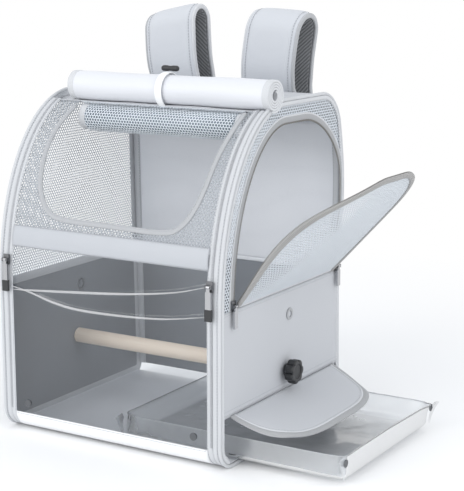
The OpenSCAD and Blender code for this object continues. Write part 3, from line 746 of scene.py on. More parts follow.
class Rim:
    """The shell's side view: toe, straight front, arch, flat top, crown corner, back, heel and bottom.

    It is kept as points with outward normals, by length round the outline, from under the toe.
    A point at depth d lies d inside the outline, along its normal.
    """

    spring_z: float = 182 * MM
    back_top_y: float = 133 * MM
    toe_r: float = 28 * MM
    heel_r: float = 14 * MM
    crown_r: float = 42 * MM
    cord_w: float = 4 * MM
    recess: float = 2.5 * MM

    def __init__(self) -> None:
        """Works the outline out from the cord's box and the corner radii."""
        low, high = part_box("right_cord")
        self.front_y, self.crown_z, self.foot_y, self.half_w = -low.y, high.z, high.y, high.x
        toe_y, crown_y, crown_cz = self.toe_r - self.front_y, self.back_top_y - self.crown_r, self.crown_z - self.crown_r
        heel_y = self.foot_y - self.heel_r
        self.toe_y, self.crown_y, self.crown_cz, self.heel_y = toe_y, crown_y, crown_cz, heel_y
        dy, dz = crown_y - heel_y, crown_cz - self.heel_r
        lean = math.degrees(
            math.atan2(dz, dy) - math.acos((self.heel_r - self.crown_r) / math.hypot(dy, dz))
        )
        a = np.radians(np.linspace(0, 90, 91))
        normal = unit(np.stack([-np.cos(a) / self.front_y, np.sin(a) / (self.crown_z - self.spring_z)], 1))
        arch = np.stack(
            [-self.front_y * np.cos(a), self.spring_z + (self.crown_z - self.spring_z) * np.sin(a)], 1
        )
        runs = [
            self._arc(toe_y, self.toe_r, self.toe_r, 270, 180),
            np.hstack([arch, normal]),
            self._arc(crown_y, crown_cz, self.crown_r, 90, lean),
            self._arc(heel_y, self.heel_r, self.heel_r, lean, -90),
            np.array([[toe_y, 0.0, 0.0, -1.0]]),
        ]
        rows = np.vstack(runs)
        s = lengths(rows[:, :2])
        ends = np.cumsum([len(r) for r in runs])
        self.s_toe, self.s_spring, self.s_top, self.s_crown = s[ends[0] - 1], s[ends[0]], s[ends[1] - 1], s[ends[1]]
        self.s_lean, self.s_heel, self.s_end, self.length = s[ends[2] - 1], s[ends[2]], s[ends[3] - 1], s[-1]
        self.s = np.linspace(0, s[-1], 2000)
        self.rows = np.stack([np.interp(self.s, s, rows[:, k]) for k in range(4)], 1)
        self.front_rows = self.s <= self.s_top

    @staticmethod
    def _arc(cy: float, cz: float, r: float, first: float, last: float) -> Array:
        """Returns points and normals of an arc, its angles in degrees."""
        a = np.radians(np.linspace(first, last, 25))
        return np.stack([cy + r * np.cos(a), cz + r * np.sin(a), np.cos(a), np.sin(a)], 1)

    def at(self, s: Array, depth: Array | float = 0.0) -> tuple[Array, Array]:
        """Returns y and z at lengths s, that far inside the outline."""
        y, z, ny, nz = (np.interp(s, self.s, self.rows[:, k]) for k in range(4))
        return y - depth * ny, z - depth * nz

    def by_height(self, z: float, depth: float = 0.0) -> float:
        """Returns the length at which the front, at a depth, reaches a height."""
        s = self.s[self.front_rows]
        return float(np.interp(z, self.at(s, depth)[1], s))

    def by_y(self, y: float, depth: float = 0.0) -> float:
        """Returns the length at which the arch or the top, at a depth, reaches y."""
        s = self.s[(self.s >= self.s_spring) & (self.s <= self.s_crown)]
        return float(np.interp(y, self.at(s, depth)[0], s))

    def arch_z(self, y: Array, depth: float) -> Array:
        """Returns the height of the arch or the top over y, at a depth."""
        s = np.linspace(self.s_spring, self.s_lean, 600)
        at_y, at_z = self.at(s, depth)
        return np.interp(y, at_y, at_z)

    def spread(self, depth: float) -> Callable[[Array, Array], Array]:
        """Returns the rule that puts a flat sheet (x, length) on the outline at a depth."""
        return lambda x, s: np.stack([x, *self.at(s, depth)], 1)

    def round_track(self, x: float, depth: float, s0: float, s1: float, step: float = 5 * MM) -> Track:
        """Returns a track round the shell at one x, whose out direction is the outline's normal."""
        closed = s1 - s0 > self.length - MM
        s = np.linspace(s0, s1, max(8, int((s1 - s0) / step)), endpoint=not closed)
        y, z, ny, nz = (np.interp(s, self.s, self.rows[:, k]) for k in range(4))
        zero = np.zeros_like(s)
        centre = np.stack([zero + x, y - depth * ny, z - depth * nz], 1)
        return Track(centre, np.tile([1.0, 0.0, 0.0], (len(s), 1)), np.stack([zero, ny, nz], 1), closed)

    def side_track(self, side: int, x: float, depth: float, s0: float, s1: float, step: float = 5 * MM) -> Track:
        """Returns a track along the outline on a side wall, whose out direction is the wall's."""
        t = self.round_track(side * x, depth, s0, s1, step)
        return Track(t.centre, t.out, np.tile([float(side), 0.0, 0.0], (len(t.centre), 1)), t.closed)

    def outline(self, depth: float, low: float, high: float = 9.0) -> Array:
        """Returns the closed side outline at a depth between two heights, as y and z."""
        y, z = self.at(np.linspace(0, self.length, 500), depth)
        rows = np.stack([y, np.clip(z, low, high)], 1)
        return rows[np.linalg.norm(rows - np.roll(rows, 1, 0), axis=1) > 1e-5]


def along_y(x: float, y: Array, z: float, out_x: float) -> Track:
    """Returns a level track on a side wall, whose out direction is plus or minus x."""
    centre = np.stack([np.full_like(y, x), y, np.full_like(y, z)], 1)
    return Track.on(centre, np.tile([out_x, 0.0, 0.0], (len(y), 1)))


def sew(name: str, track: Track, pitch: float = 3.6 * MM, long: float = 2.6 * MM, high: float = 0.35 * MM) -> None:
    """Lays a row of stitches on the shell along a track."""
    make(name, track.blocks(pitch, long, THREAD_W, high), THREAD, flat=True)


def on_wall(side: int, x: float) -> Callable[[Array, Array], Array]:
    """Returns the rule that puts a flat sheet (y, z) on a side wall."""
    return lambda y, z: np.stack([np.full_like(y, side * x), y, z], 1)


@dataclass
class ArchEdges:
    """The two arch edges: piped cord, binding, front zip tape and its coil."""

    rim: Rim
    tape_w: float = 14.5 * MM
    slot_y: float = 126 * MM
    roof_front_y: float = 42 * MM
    coil_w: float = 3.2 * MM

    def build(self) -> None:
        """Builds both sides."""
        for side, name in ((1, "right"), (-1, "left")):
            self.cord(side, name)
            self.binding(side, name)
            self.zip(side, name)

    def cord(self, side: int, name: str) -> None:
        """Builds the piping: a round cord in a cloth strip, whose seam shows as a groove on its inner side."""
        rim = self.rim
        track = rim.round_track(side * (rim.half_w - 2 * MM), 2 * MM, 0, rim.length, 3.5 * MM)
        a = np.linspace(0, 2 * math.pi, 14, endpoint=False)
        make(
            f"{name}_piping",
            track.sweep(np.stack([np.cos(a), np.sin(a)], 1) * 2.15 * MM),
            PIPING,
            stands_for=[f"{name}_cord"],
        )

    def binding(self, side: int, name: str) -> None:
        """Builds the binding beside the cord, crowned, with two rows of stitches. On the right it stops at the slot."""
        rim = self.rim
        s0, s1 = (0.0, rim.length)
        if side > 0:
            toe_turn = math.asin((self.slot_y + rim.toe_y) / (rim.toe_r - 6.5 * MM))
            s0, s1 = rim.toe_r * toe_turn, rim.s_end + 3 * MM
        track = rim.side_track(side, rim.half_w - 0.6 * MM, 6.5 * MM, s0, s1, 4 * MM)
        make(
            f"{name}_edge_binding",
            track.sweep(crowned(5 * MM, 0.3 * MM, 0.7 * MM, 8)),
            BINDING_PALE,
            stands_for=[f"{name}_binding"],
        )
        seam = rim.side_track(side, rim.half_w - 0.1 * MM, 8.2 * MM, max(s0, 2 * MM), s1 - 2 * MM, 4 * MM)
        sew(f"{name}_edge_stitches", seam)
        inner = rim.side_track(side, rim.half_w - 2.9 * MM, 7 * MM, s0, s1, 6 * MM)
        make(f"{name}_edge_inner_tape", inner.sweep(pill(9 * MM, 0.8 * MM, 10)), BINDING_PALE)

    def zip(self, side: int, name: str) -> None:
        """Builds the front tape in two ribbed strips, and the coil between them as many small turns."""
        rim = self.rim
        s0, s1 = rim.by_height(1.6 * MM), rim.by_y(-self.roof_front_y)
        middle = rim.half_w - rim.cord_w - self.tape_w / 2
        wide = self.tape_w / 2 - 0.2 * MM
        strips = None
        for shift, rise in ((-wide / 2 - 0.3 * MM, 0.5), (wide / 2 + 0.1 * MM, 0.8)):
            track = rim.round_track(side * (middle + shift), rim.recess, s0, s1, 4 * MM)
            strip = track.sweep(crowned(wide, 0.6 * MM, rise * MM, 7))
            strips = strip if strips is None else strips.plus(strip)
        make(f"{name}_front_tape", strips, TAPE, stands_for=[f"{name}_front_zip"])
        coil_x = rim.half_w - rim.cord_w - self.tape_w + 4 * MM + self.coil_w / 2
        coil = rim.round_track(side * coil_x, rim.recess - 1.1 * MM, rim.by_height(rim.toe_r), s1, 3 * MM)
        make(f"{name}_front_coil", coil.blocks(1.7 * MM, 1.15 * MM, self.coil_w, 1.1 * MM), COIL)
        for k, (shift, row) in enumerate(
            ((-self.tape_w / 2 + 0.9 * MM, 1.0), (self.tape_w / 2 - 1.2 * MM, 1.3))
        ):
            seam = rim.round_track(
                side * (middle + shift), rim.recess - row * MM + 0.2 * MM, s0, s1, 4 * MM
            )
            sew(f"{name}_front_stitches_{k}", seam)


@dataclass
class Front:
    """The front wall: sill, creased clear window, puffed band, netting with its bound U opening."""

    rim: Rim
    half_w: float = 136.7 * MM
    sill_top: float = 24 * MM
    band_low: float = 228 * MM
    band_top: float = 253 * MM
    roof_front_y: float = 42 * MM

    def build(self) -> None:
        """Builds the wall from its foot upwards."""
        self.sill()
        self.window()
        self.band()
        self.netting()
        self.binding()

    def _cross(self, x: Array, s: Array, lift: Array | float) -> Array:
        """Returns points of the front wall, lifted out of it."""
        y, z = self.rim.at(s, self.rim.recess - lift)
        return np.stack([x, y, z], -1)

    def _grid(self, s0: float, s1: float, nx: int, ns: int, lift: Callable[[Array, Array], Array]) -> Patch:
        """Returns a grid over the whole width, from one length to another, lifted by a rule of (x, share)."""
        x, t = np.meshgrid(np.linspace(-self.half_w, self.half_w, nx), np.linspace(0, 1, ns), indexing="ij")
        s = s0 + (s1 - s0) * t
        patch = lattice(self._cross(x, s, lift(x, t)), x[:, 0], s[0])
        patch.closed = False
        return patch

    def sill(self) -> None:
        """Builds the white sill: a folded strip, softly crowned, with a row of stitches under the window."""
        s0, s1 = self.rim.by_height(1.3 * MM), self.rim.by_height(self.sill_top)
        patch = self._grid(
            s0, s1, 60, 10, lambda x, t: (0.2 + 1.1 * np.sqrt(np.clip(4 * t * (1 - t), 0, 1))) * MM
        )
        make("sill_strip", patch, WHITE, stands_for=["front_sill"], wall=1.0 * MM)
        seam = self._line(s1 - 1.8 * MM, 1.3 * MM)
        sew("sill_stitches", seam)

    def _line(self, s: float, lift: float, bow: float = 0.0) -> Track:
        """Returns a level track across the front wall, bowed down by a parabola."""
        x = np.linspace(-self.half_w + 2 * MM, self.half_w - 2 * MM, 90)
        at = s - bow * (1 - (x / self.half_w) ** 2)
        centre = self._cross(x, at, lift)
        ahead = unit(self._cross(x, at, lift + 1.0) - centre)
        return Track.on(centre, ahead)

    def window(self) -> None:
        """Builds the clear sheet with two folds left from packing, and a ribbon of painted highlight along each fold's
        crest.

        Each fold is a narrow ridge of the form exp(-(distance / width)^2) along a drooping line, and the
        sheet as a whole bulges a little.
        """
        s0, s1 = self.rim.by_height(self.sill_top - 2 * MM), self.rim.by_height(self.band_low + 3 * MM)
        upper = [(-136, 176), (-118, 177), (-33, 184), (34, 190.5), (95, 199.5), (136, 210)]
        lower = [(-136, 180), (-107, 175), (-73, 167), (-34, 163), (27, 164), (82, 168), (136, 177)]
        folds = [(smooth_path(np.array(row) * MM, 2 * MM), high * MM) for row, high in ((upper, 1.6), (lower, 2.0))]

        def lift(x: Array, t: Array) -> Array:
            z = self.rim.at(s0 + (s1 - s0) * t, self.rim.recess)[1]
            out = 1.2 * MM * np.sin(math.pi * t) * np.cos(math.pi * x / 2 / self.half_w)
            for line, high in folds:
                off = z - np.interp(x, line[:, 0], line[:, 1])
                fade = ease((x / self.half_w + 0.98) / 0.4)
                out = out + high * fade * np.exp(-((off / (2.2 * MM)) ** 2))
            return out

        patch = self._grid(s0, s1, 140, 200, lift)
        make("window_sheet", patch, PVC, stands_for=["front_window"])
        # Each fold's crest gets a ribbon of painted highlight.
        for k, (line, high) in enumerate(folds):
            self.crest(f"window_fold_painted_highlight_{k}", line, high)

    def crest(self, name: str, line: Array, high: float) -> None:
        """Lays a painted highlight on the crest of a fold on the window: a milky white ribbon that is widest at a third
        of its length.
        """
        t = np.linspace(0, 1, len(line))
        half = 1.5 * MM * (0.2 + 0.8 * np.sin(math.pi * t**0.7) ** 0.8)
        z = line[:, 1:] + half[:, None] * np.linspace(-1, 1, 5)
        front = self.rim.s[self.rim.front_rows]
        s = np.interp(z, self.rim.at(front, self.rim.recess)[1], front)
        x = np.broadcast_to(line[:, :1], z.shape)
        lift = high + 1.3 * MM - 0.7 * MM * np.linspace(-1, 1, 5) ** 2
        ribbon = lattice(self._cross(x, s, lift[None]), lengths(line), np.linspace(-1, 1, 5) * 1.5 * MM)
        ribbon.closed = False
        make(name, ribbon, PVC_PAINTED_HIGHLIGHT)

    def band(self) -> None:
        """Builds the satin band: a stuffed strip, crowned by the root of a parabola, slightly uneven along its length."""
        s0, s1 = self.rim.by_height(self.band_low), self.rim.by_height(self.band_top)
        patch = self._grid(
            s0,
            s1,
            90,
            14,
            lambda x, t: 2.6 * MM * np.sqrt(np.clip(4 * t * (1 - t), 0, 1)) * (
                1 + 0.08 * np.sin(x * 95) + 0.05 * np.sin(x * 231)
            ),
        )
        make("satin_band", patch, BAND, stands_for=["front_band"], wall=0.8 * MM)
        for k, s in enumerate((s0 + 1.0 * MM, s1 - 1.0 * MM)):
            seam = self._line(s, 1.1 * MM)
            sew(f"band_stitches_{k}", seam)

    def opening(self, grow: float) -> Array:
        """Returns the U opening's edge seen from the front as (x, z): down the left, across and up the right.

        The sewn U leans a little: its right side opens out towards the roof, its left side draws in.
        """
        left = [
            (-103, 402),
            (-106, 383),
            (-111, 362),
            (-112.5, 342),
            (-110.5, 320),
            (-105, 297),
            (-91, 276),
            (-68, 267),
        ]
        right = [
            (0, 265.5),
            (70, 265),
            (92, 272),
            (106, 290),
            (114, 314),
            (118, 342),
            (121, 360),
            (124, 380),
            (125, 402),
        ]
        edge = smooth_path(np.array(left + right) * MM, 3 * MM)
        course = unit(np.gradient(edge, axis=0))
        return edge + grow * np.stack([course[:, 1], -course[:, 0]], 1)

    def netting(self) -> None:
        """Builds the front netting round the opening, its rows level and its threads vertical, in a greyer copy of the
        netting as painted shade.
        """
        low = self.rim.by_height(self.band_top - 1.5 * MM)
        high = self.rim.by_y(-self.roof_front_y)
        hole = self.opening(4 * MM)

        def keep(x: Array, s: Array) -> Array:
            z = self.rim.at(s, self.rim.recess)[1]
            return (np.abs(x) < self.half_w) & (s > low) & (s < high) & ~within(x, z, hole)

        net = netting(
            (-self.half_w, self.half_w), (low, high), self.rim.spread(self.rim.recess + 0.6 * MM), keep
        )
        make("front_netting", net, YARN_FRONT_PAINTED_SHADE, stands_for=["front_mesh"], wall=0.5 * MM)

    def binding(self) -> None:
        """Builds the bound edge of the opening: a strip folded over the netting, an oval tube in section."""
        edge = even(self.opening(2.6 * MM), 3 * MM)
        fit = edge[
            edge[:, 1] < self.rim.at(np.array([self.rim.by_y(-self.roof_front_y)]), 2.5 * MM)[1][0] - 3 * MM
        ]
        s = np.array([self.rim.by_height(z, self.rim.recess) for z in fit[:, 1]])
        centre = self._cross(fit[:, 0], s, -0.2 * MM)
        ahead = unit(self._cross(fit[:, 0], s, 1.0) - centre)
        track = Track.on(centre, ahead)
        make(
            "opening_binding",
            track.sweep(pill(6.2 * MM, 3.4 * MM, 16)),
            BINDING,
            stands_for=["window_binding"],
        )
        seam = track.shifted(-1.6 * MM, 1.6 * MM)
        sew("opening_stitches", seam, 3.2 * MM, 2.2 * MM, 0.3 * MM)


@dataclass
class Roll:
    """A rolled-up flap: a spiral whose radius falls evenly, bound at both ends.

    The radius at turn angle a is outer - pitch a / 2 pi, less the layer's thickness on its inner side.
    It breathes a little along its length, as rolled cloth does.
    """

    name: str
    node: str
    outer: float
    middle: tuple[float, float]
    x0: float
    x1: float
    end_angle: float
    finish: Finish
    bound: Finish
    turns: float = 3.0
    pitch: float = 4.0 * MM
    layer: float = 2.6 * MM
    bound_w: float = 8 * MM
    loose: float = 0.5 * MM

    def section(self, grow: float) -> Array:
        """Returns the spiral's closed section as (y, z) about its middle, thicker by grow on both sides."""
        a = np.linspace(0, 2 * math.pi * self.turns, int(30 * self.turns))
        turn = a + math.radians(self.end_angle)
        faces = []
        for r in (self.outer + grow, self.outer - self.layer - grow):
            q = r - self.pitch * a / (2 * math.pi)
            faces.append(np.stack([q * np.cos(turn), q * np.sin(turn)], 1))
        return np.vstack([faces[0], faces[1][::-1]])

    def sweep(self, x0: float, x1: float, grow: float) -> Patch:
        """Carries the section from x0 to x1."""
        rows = self.section(grow)
        x = np.linspace(x0, x1, max(4, int((x1 - x0) / (5 * MM))))
        angle = np.arctan2(rows[:, 1], rows[:, 0])
        wave = 1 + self.loose / self.outer * np.sin(x[:, None] * 47 + 2 * angle) * np.sin(x[:, None] * 17)
        y = self.middle[0] + rows[None, :, 0] * wave
        z = self.middle[1] + rows[None, :, 1] * wave
        grid = np.stack([np.broadcast_to(x[:, None], y.shape), y, z], 2)
        v = lengths(rows)
        return lattice(grid, x, np.append(v, v[-1] + self.layer), loop_v=True)

    def build(self) -> None:
        """Builds the rolled flap and its two bound ends."""
        make(
            self.name,
            self.sweep(self.x0 + self.bound_w / 2, self.x1 - self.bound_w / 2, 0.0),
            self.finish,
            stands_for=[self.node],
        )
        ends = self.sweep(self.x0, self.x0 + self.bound_w, 0.35 * MM).plus(
            self.sweep(self.x1 - self.bound_w, self.x1, 0.35 * MM)
        )
        make(self.name + "_bound_ends", ends, self.bound)


@dataclass
class Rolls:
    """The two rolled flaps on top, the loop that holds the cover and its toggle."""

    rim: Rim
    loop_x: float = 12 * MM
    loop_w: float = 9 * MM
    cover_r: float = 19.5 * MM
    cover_shift: tuple[float, float] = (-8.5 * MM, -1.5 * MM)
    toggle_shift: tuple[float, float, float] = (6 * MM, -8.5 * MM, 2 * MM)
    net: tuple[float, float] = (-36 * MM, 373 * MM)
    net_r: float = 16 * MM

    def build(self) -> None:
        """Builds both rolls. The cover is a little larger than its solid and lies forward of it."""
        low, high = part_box("roll_loop")
        middle = ((low.y + high.y) / 2, (low.z + high.z) / 2)
        cover_low, cover_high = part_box("cover_roll")
        middle = (middle[0] + self.cover_shift[0], middle[1] + self.cover_shift[1])
        cover = Roll(
            "rolled_cover",
            "cover_roll",
            self.cover_r,
            middle,
            cover_low.x + 14 * MM,
            cover_high.x + 7 * MM,
            250,
            SATIN,
            BINDING_PALE,
        )
        cover.turns, cover.pitch, cover.layer = 4.5, 2.9 * MM, 1.7 * MM
        cover.build()
        net_low, net_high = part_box("mesh_roll")
        x0, x1 = net_low.x - 8 * MM, net_high.x + 16 * MM
        # The rolled netting's inner turns are one dark solid: painted shade.
        Roll("rolled_netting", "mesh_roll", 15.8 * MM, self.net, x0, x1, 90, YARN_INNER_PAINTED_SHADE, BINDING_PALE, bound_w=9 * MM).build()
        self.wrap(x0 + 9 * MM, x1 - 9 * MM)
        self.tail(x0, x1)
        self.loop(middle, (high.z - low.z) / 2 + 2 * MM)
        self.toggle()

    def wrap(self, x0: float, x1: float) -> None:
        """Lays one turn of netting round the rolled netting, which hides the plain turns in it; their dark finish,
        painted shade, shows through its holes.
        """

        def place(x: Array, v: Array) -> Array:
            a = v / self.net_r
            return np.stack(
                [x, self.net[0] + self.net_r * np.cos(a), self.net[1] + self.net_r * np.sin(a)], 1
            )

        net = netting(
            (x0, x1),
            (0, 2 * math.pi * self.net_r),
            place,
            lambda x, v: (x > x0) & (x < x1),
            (3.9 * MM, 3.3 * MM),
        )
        make("rolled_netting_outer_turn", net, YARN, wall=0.5 * MM)

    def tail(self, x0: float, x1: float) -> None:
        """Builds the stretch of netting from the roll up to the roof's front edge."""
        foot, head = (-37.5 * MM, 388.8 * MM), (-42.2 * MM, 391.6 * MM)

        def place(x: Array, v: Array) -> Array:
            t = v / (6 * MM)
            y = foot[0] + (head[0] - foot[0]) * t
            z = foot[1] + (head[1] - foot[1]) * t
            return np.stack([x, y, z], 1)

        net = netting((x0, x1), (0, 6 * MM), place, lambda x, v: (x > x0) & (x < x1), (4.4 * MM, 3.4 * MM))
        make("netting_tail", net, YARN, wall=0.6 * MM)

    def loop(self, middle: tuple[float, float], r: float) -> None:
        """Builds the white retaining loop: a flat crowned band, a little wider where it is stitched."""
        a = np.linspace(0, 2 * math.pi, 64, endpoint=False)
        out = np.stack([np.zeros_like(a), np.cos(a), np.sin(a)], 1)
        centre = np.stack(
            [
                np.full_like(a, self.loop_x),
                middle[0] + (r - 0.9 * MM) * np.cos(a),
                middle[1] + (r - 0.9 * MM) * np.sin(a),
            ],
            1,
        )
        track = Track(centre, np.tile([1.0, 0.0, 0.0], (64, 1)), out, True)
        make(
            "cover_loop",
            track.sweep(crowned(self.loop_w, 0.9 * MM, 0.5 * MM, 9)),
            WHITE,
            stands_for=["roll_loop"],
        )

    def toggle(self) -> None:
        """Builds the black toggle: a turned bar with domed ends and a waist."""
        low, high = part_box("roll_toggle")
        r = 3.5 * MM
        mid_y, mid_z = (low.y + high.y) / 2 + self.toggle_shift[1], (low.z + high.z) / 2 + self.toggle_shift[2]
        t = np.linspace(-1, 1, 40)
        half = (high.x - low.x) / 2
        radius = r * (1 - 0.16 * np.exp(-((t / 0.25) ** 2))) * np.sqrt(np.clip(1 - np.abs(t) ** 9, 0, 1))
        profile = np.stack([(low.x + high.x) / 2 + self.toggle_shift[0] + half * t, radius], 1)
        bar = lathe(profile, lambda a, b, c: np.stack([a, mid_y + b, mid_z + c], -1), 28)
        make("cover_toggle", bar, ABS, stands_for=["roll_toggle"])


@dataclass
class Walls:
    """Side walls, back, roof, floor and linings."""

    rim: Rim
    door_z: float = 181 * MM
    flap_z: float = 61 * MM
    slot_y: float = 126 * MM
    perch: tuple[float, float] = (1.5 * MM, 84.5 * MM)
    spare: tuple[float, float] = (10 * MM, 150.5 * MM)
    bore: float = 5 * MM
    roof_front_y: float = 42 * MM

    def build(self) -> None:
        """Builds each wall with its lining."""
        holes = [circle(*self.perch, self.bore), circle(*self.spare, self.bore)]
        self.lower(-1, "left", 3 * MM, holes)
        self.lower(1, "right", self.flap_z, holes)
        self.left_netting()
        self.rail()
        self.back()
        self.roof()
        self.bottom()

    def lower(self, side: int, name: str, low: float, holes: list[Array]) -> None:
        """Builds a lower wall: cloth outside, lining inside darkened as painted shade, seams above the flap and below
        the netting.
        """
        rim = self.rim
        outline = rim.outline(5 * MM, max(low, 5 * MM), self.door_z)
        outer = cut_flat(outline, on_wall(side, rim.half_w - 1.2 * MM), holes)
        make(f"{name}_wall_cloth", outer, OXFORD, stands_for=[f"{name}_lower_wall"], wall=1.8 * MM)
        inner = cut_flat(outline, on_wall(side, rim.half_w - 2.6 * MM), holes)
        make(f"{name}_wall_lining", inner, LINING_PAINTED_SHADE, wall=0.7 * MM)
        rows = [self.door_z - 3.5 * MM]
        if side > 0:
            rows += [self.flap_z + 3 * MM, self.flap_z + 7.5 * MM]
        seams = None
        for z in rows:
            y = np.linspace(-rim.front_y + 10 * MM, 130 * MM, 60)
            row = along_y(side * (rim.half_w - 0.4 * MM), y, z, float(side))
            blocks = row.blocks(3.6 * MM, 2.6 * MM, 0.5 * MM, 0.3 * MM)
            seams = blocks if seams is None else seams.plus(blocks)
        make(f"{name}_wall_stitches", seams, THREAD, flat=True)

    def left_netting(self) -> None:
        """Builds the left upper wall of netting."""
        rim = self.rim
        outline = rim.outline(6 * MM, self.door_z - 2 * MM)
        net = netting(
            (-rim.front_y, rim.foot_y),
            (self.door_z - 2 * MM, rim.crown_z),
            on_wall(-1, rim.half_w - 1.4 * MM),
            lambda y, z: within(y, z, outline),
        )
        make("left_netting", net, YARN, stands_for=["left_mesh"], wall=0.5 * MM)

    def rail(self) -> None:
        """Builds the binding inside the left wall, where netting meets cloth."""
        y = np.linspace(-self.rim.front_y + 9 * MM, 132 * MM, 60)
        track = along_y(-self.rim.half_w + 3.1 * MM, y, self.door_z, 1.0)
        make(
            "left_wall_binding",
            track.sweep(crowned(10 * MM, 0.5 * MM, 0.9 * MM)),
            BINDING_PALE,
            stands_for=["left_wall_rail"],
        )

    def back(self) -> None:
        """Builds the back: outer cloth puffed between two sewn channels, its linings, the lower one darkened as painted
        shade, and corner bindings.
        """
        rim = self.rim
        w = rim.half_w - rim.cord_w
        s0, s1 = rim.s_lean, rim.s_heel
        x, t = np.meshgrid(np.linspace(-w, w, 121), np.linspace(0, 1, 60), indexing="ij")
        s = s0 + (s1 - s0) * t
        puff = np.abs(np.sin(3 * math.pi * (x + w) / (2 * w))) ** 0.35 * np.clip(4 * t * (1 - t) * 6, 0, 1) ** 0.5
        y, z = rim.at(s, 0.9 * MM - 1.1 * MM * puff)
        outer = lattice(np.stack([x, y, z], -1), x[:, 0], s[0])
        outer.closed = False
        make("back_cloth", outer, OXFORD, stands_for=["back_panel"], wall=0.8 * MM)
        for name, low, high, finish in (
            ("back_lining_upper", self.door_z, None, LINING_PALE),
            # The lower lining's darker finish is painted shade.
            ("back_lining_lower", 6 * MM, self.door_z, LINING_PAINTED_SHADE),
        ):
            span = np.linspace(s0, s1, 400)
            heights = rim.at(span, 3 * MM)[1]
            top = s0 if high is None else float(np.interp(-high, -heights, span))
            foot = float(np.interp(-low, -heights, span))
            x, s = np.meshgrid(np.linspace(-w, w, 60), np.linspace(top, foot, 40), indexing="ij")
            drift = 0.5 * MM * np.sin(x * 31 + 1.1) * np.sin(s * 27)
            y, z = rim.at(s, 2.8 * MM + drift)
            sheet = lattice(np.stack([x, y, z], -1), x[:, 0], s[0])
            sheet.closed = False
            make(name, sheet, finish, wall=0.8 * MM)
        level = np.linspace(-w, w, 60)
        in_y, in_z = rim.at(np.linspace(s0, s1, 400), 4 * MM)
        y = np.full_like(level, float(np.interp(-self.door_z, -in_z, in_y)))
        seam = Track.on(
            np.stack([level, y, np.full_like(level, self.door_z)], 1), np.tile([0.0, -1.0, 0.0], (60, 1))
        )
        make("back_lining_seam", seam.sweep(crowned(5 * MM, 0.3 * MM, 0.5 * MM)), LINING_PALE)
        for side, name in ((1, "right"), (-1, "left")):
            track = rim.round_track(side * (w - 4.5 * MM), 3.7 * MM, s0, s1, 6 * MM).flipped()
            make(
                f"{name}_corner_binding",
                track.sweep(crowned(9 * MM, 0.6 * MM, 1.0 * MM)),
                BINDING_PALE,
                stands_for=[f"back_{name}_binding"],
            )
            seam = track.shifted(-side * 3.6 * MM, 0.9 * MM)
            sew(f"{name}_corner_stitches", seam, long=2.4 * MM, high=0.3 * MM)

    def roof_z(self, y: Array) -> Array:
        """Returns the roof cloth's height over y: below the arch, with a dip that starts steeply at the front."""
        dip = 8 * MM * np.minimum(
            ease((y + self.roof_front_y) / (14 * MM)), ease((self.rim.crown_y - y) / (45 * MM))
        )
        return self.rim.arch_z(y, 0.0) - self.rim.recess - dip

    def roof(self) -> None:
        """Builds the roof cloth, sagging under the rolled cover, and its rear part down the crown corner."""
        rim = self.rim
        w = rim.half_w - rim.cord_w
        t = np.linspace(0, 1, 70)
        front_y = -self.roof_front_y + (rim.crown_y + self.roof_front_y) * t**1.4
        y, z = front_y, self.roof_z(front_y)
        s = np.linspace(rim.s_crown, rim.s_lean, 20)[1:]
        rear_y, rear_z = rim.at(s, rim.recess)
        y, z = np.concatenate([y, rear_y]), np.concatenate([z, rear_z])
        x = np.linspace(-w, w, 90)
        lift = 2.0 * MM * np.clip((np.abs(x) - w + 5 * MM) / (5 * MM), 0, 1) ** 2
        crease = 0.35 * MM * np.sin(x[:, None] * 60 + y[None] * 40) * np.sin(y[None] * 55)
        grid = np.stack(
            np.broadcast_arrays(
                x[:, None], y[None], z[None] - 0.6 * MM + lift[:, None] * 0.4 + crease * 0.6
            ),
            -1,
        )
        sheet = lattice(grid, x, lengths(np.stack([y, z], 1)))
        sheet.closed = False
        make("roof_cloth", sheet, OXFORD, stands_for=["roof_panel"], wall=1.0 * MM)
        LOG.info("roof cloth reaches from %.3f to %.3f", y[0], y[-1])

    def bottom(self) -> None:
        """Builds the base cloth and dresses the board and the floor."""
        low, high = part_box("bottom_skin")
        x, y = np.meshgrid(np.linspace(low.x, high.x, 60), np.linspace(low.y, high.y, 60), indexing="ij")
        grid = np.stack([x, y, 0.6 * MM + 0.15 * MM * np.sin(x * 90) * np.sin(y * 80)], -1)
        sheet = lattice(grid, x[:, 0], y[0])
        sheet.closed = False
        make("base_cloth", sheet, OXFORD, stands_for=["bottom_skin"], wall=0.8 * MM)
        dress(BOARD, "base_board")
        dress(MAT, "floor_liner")


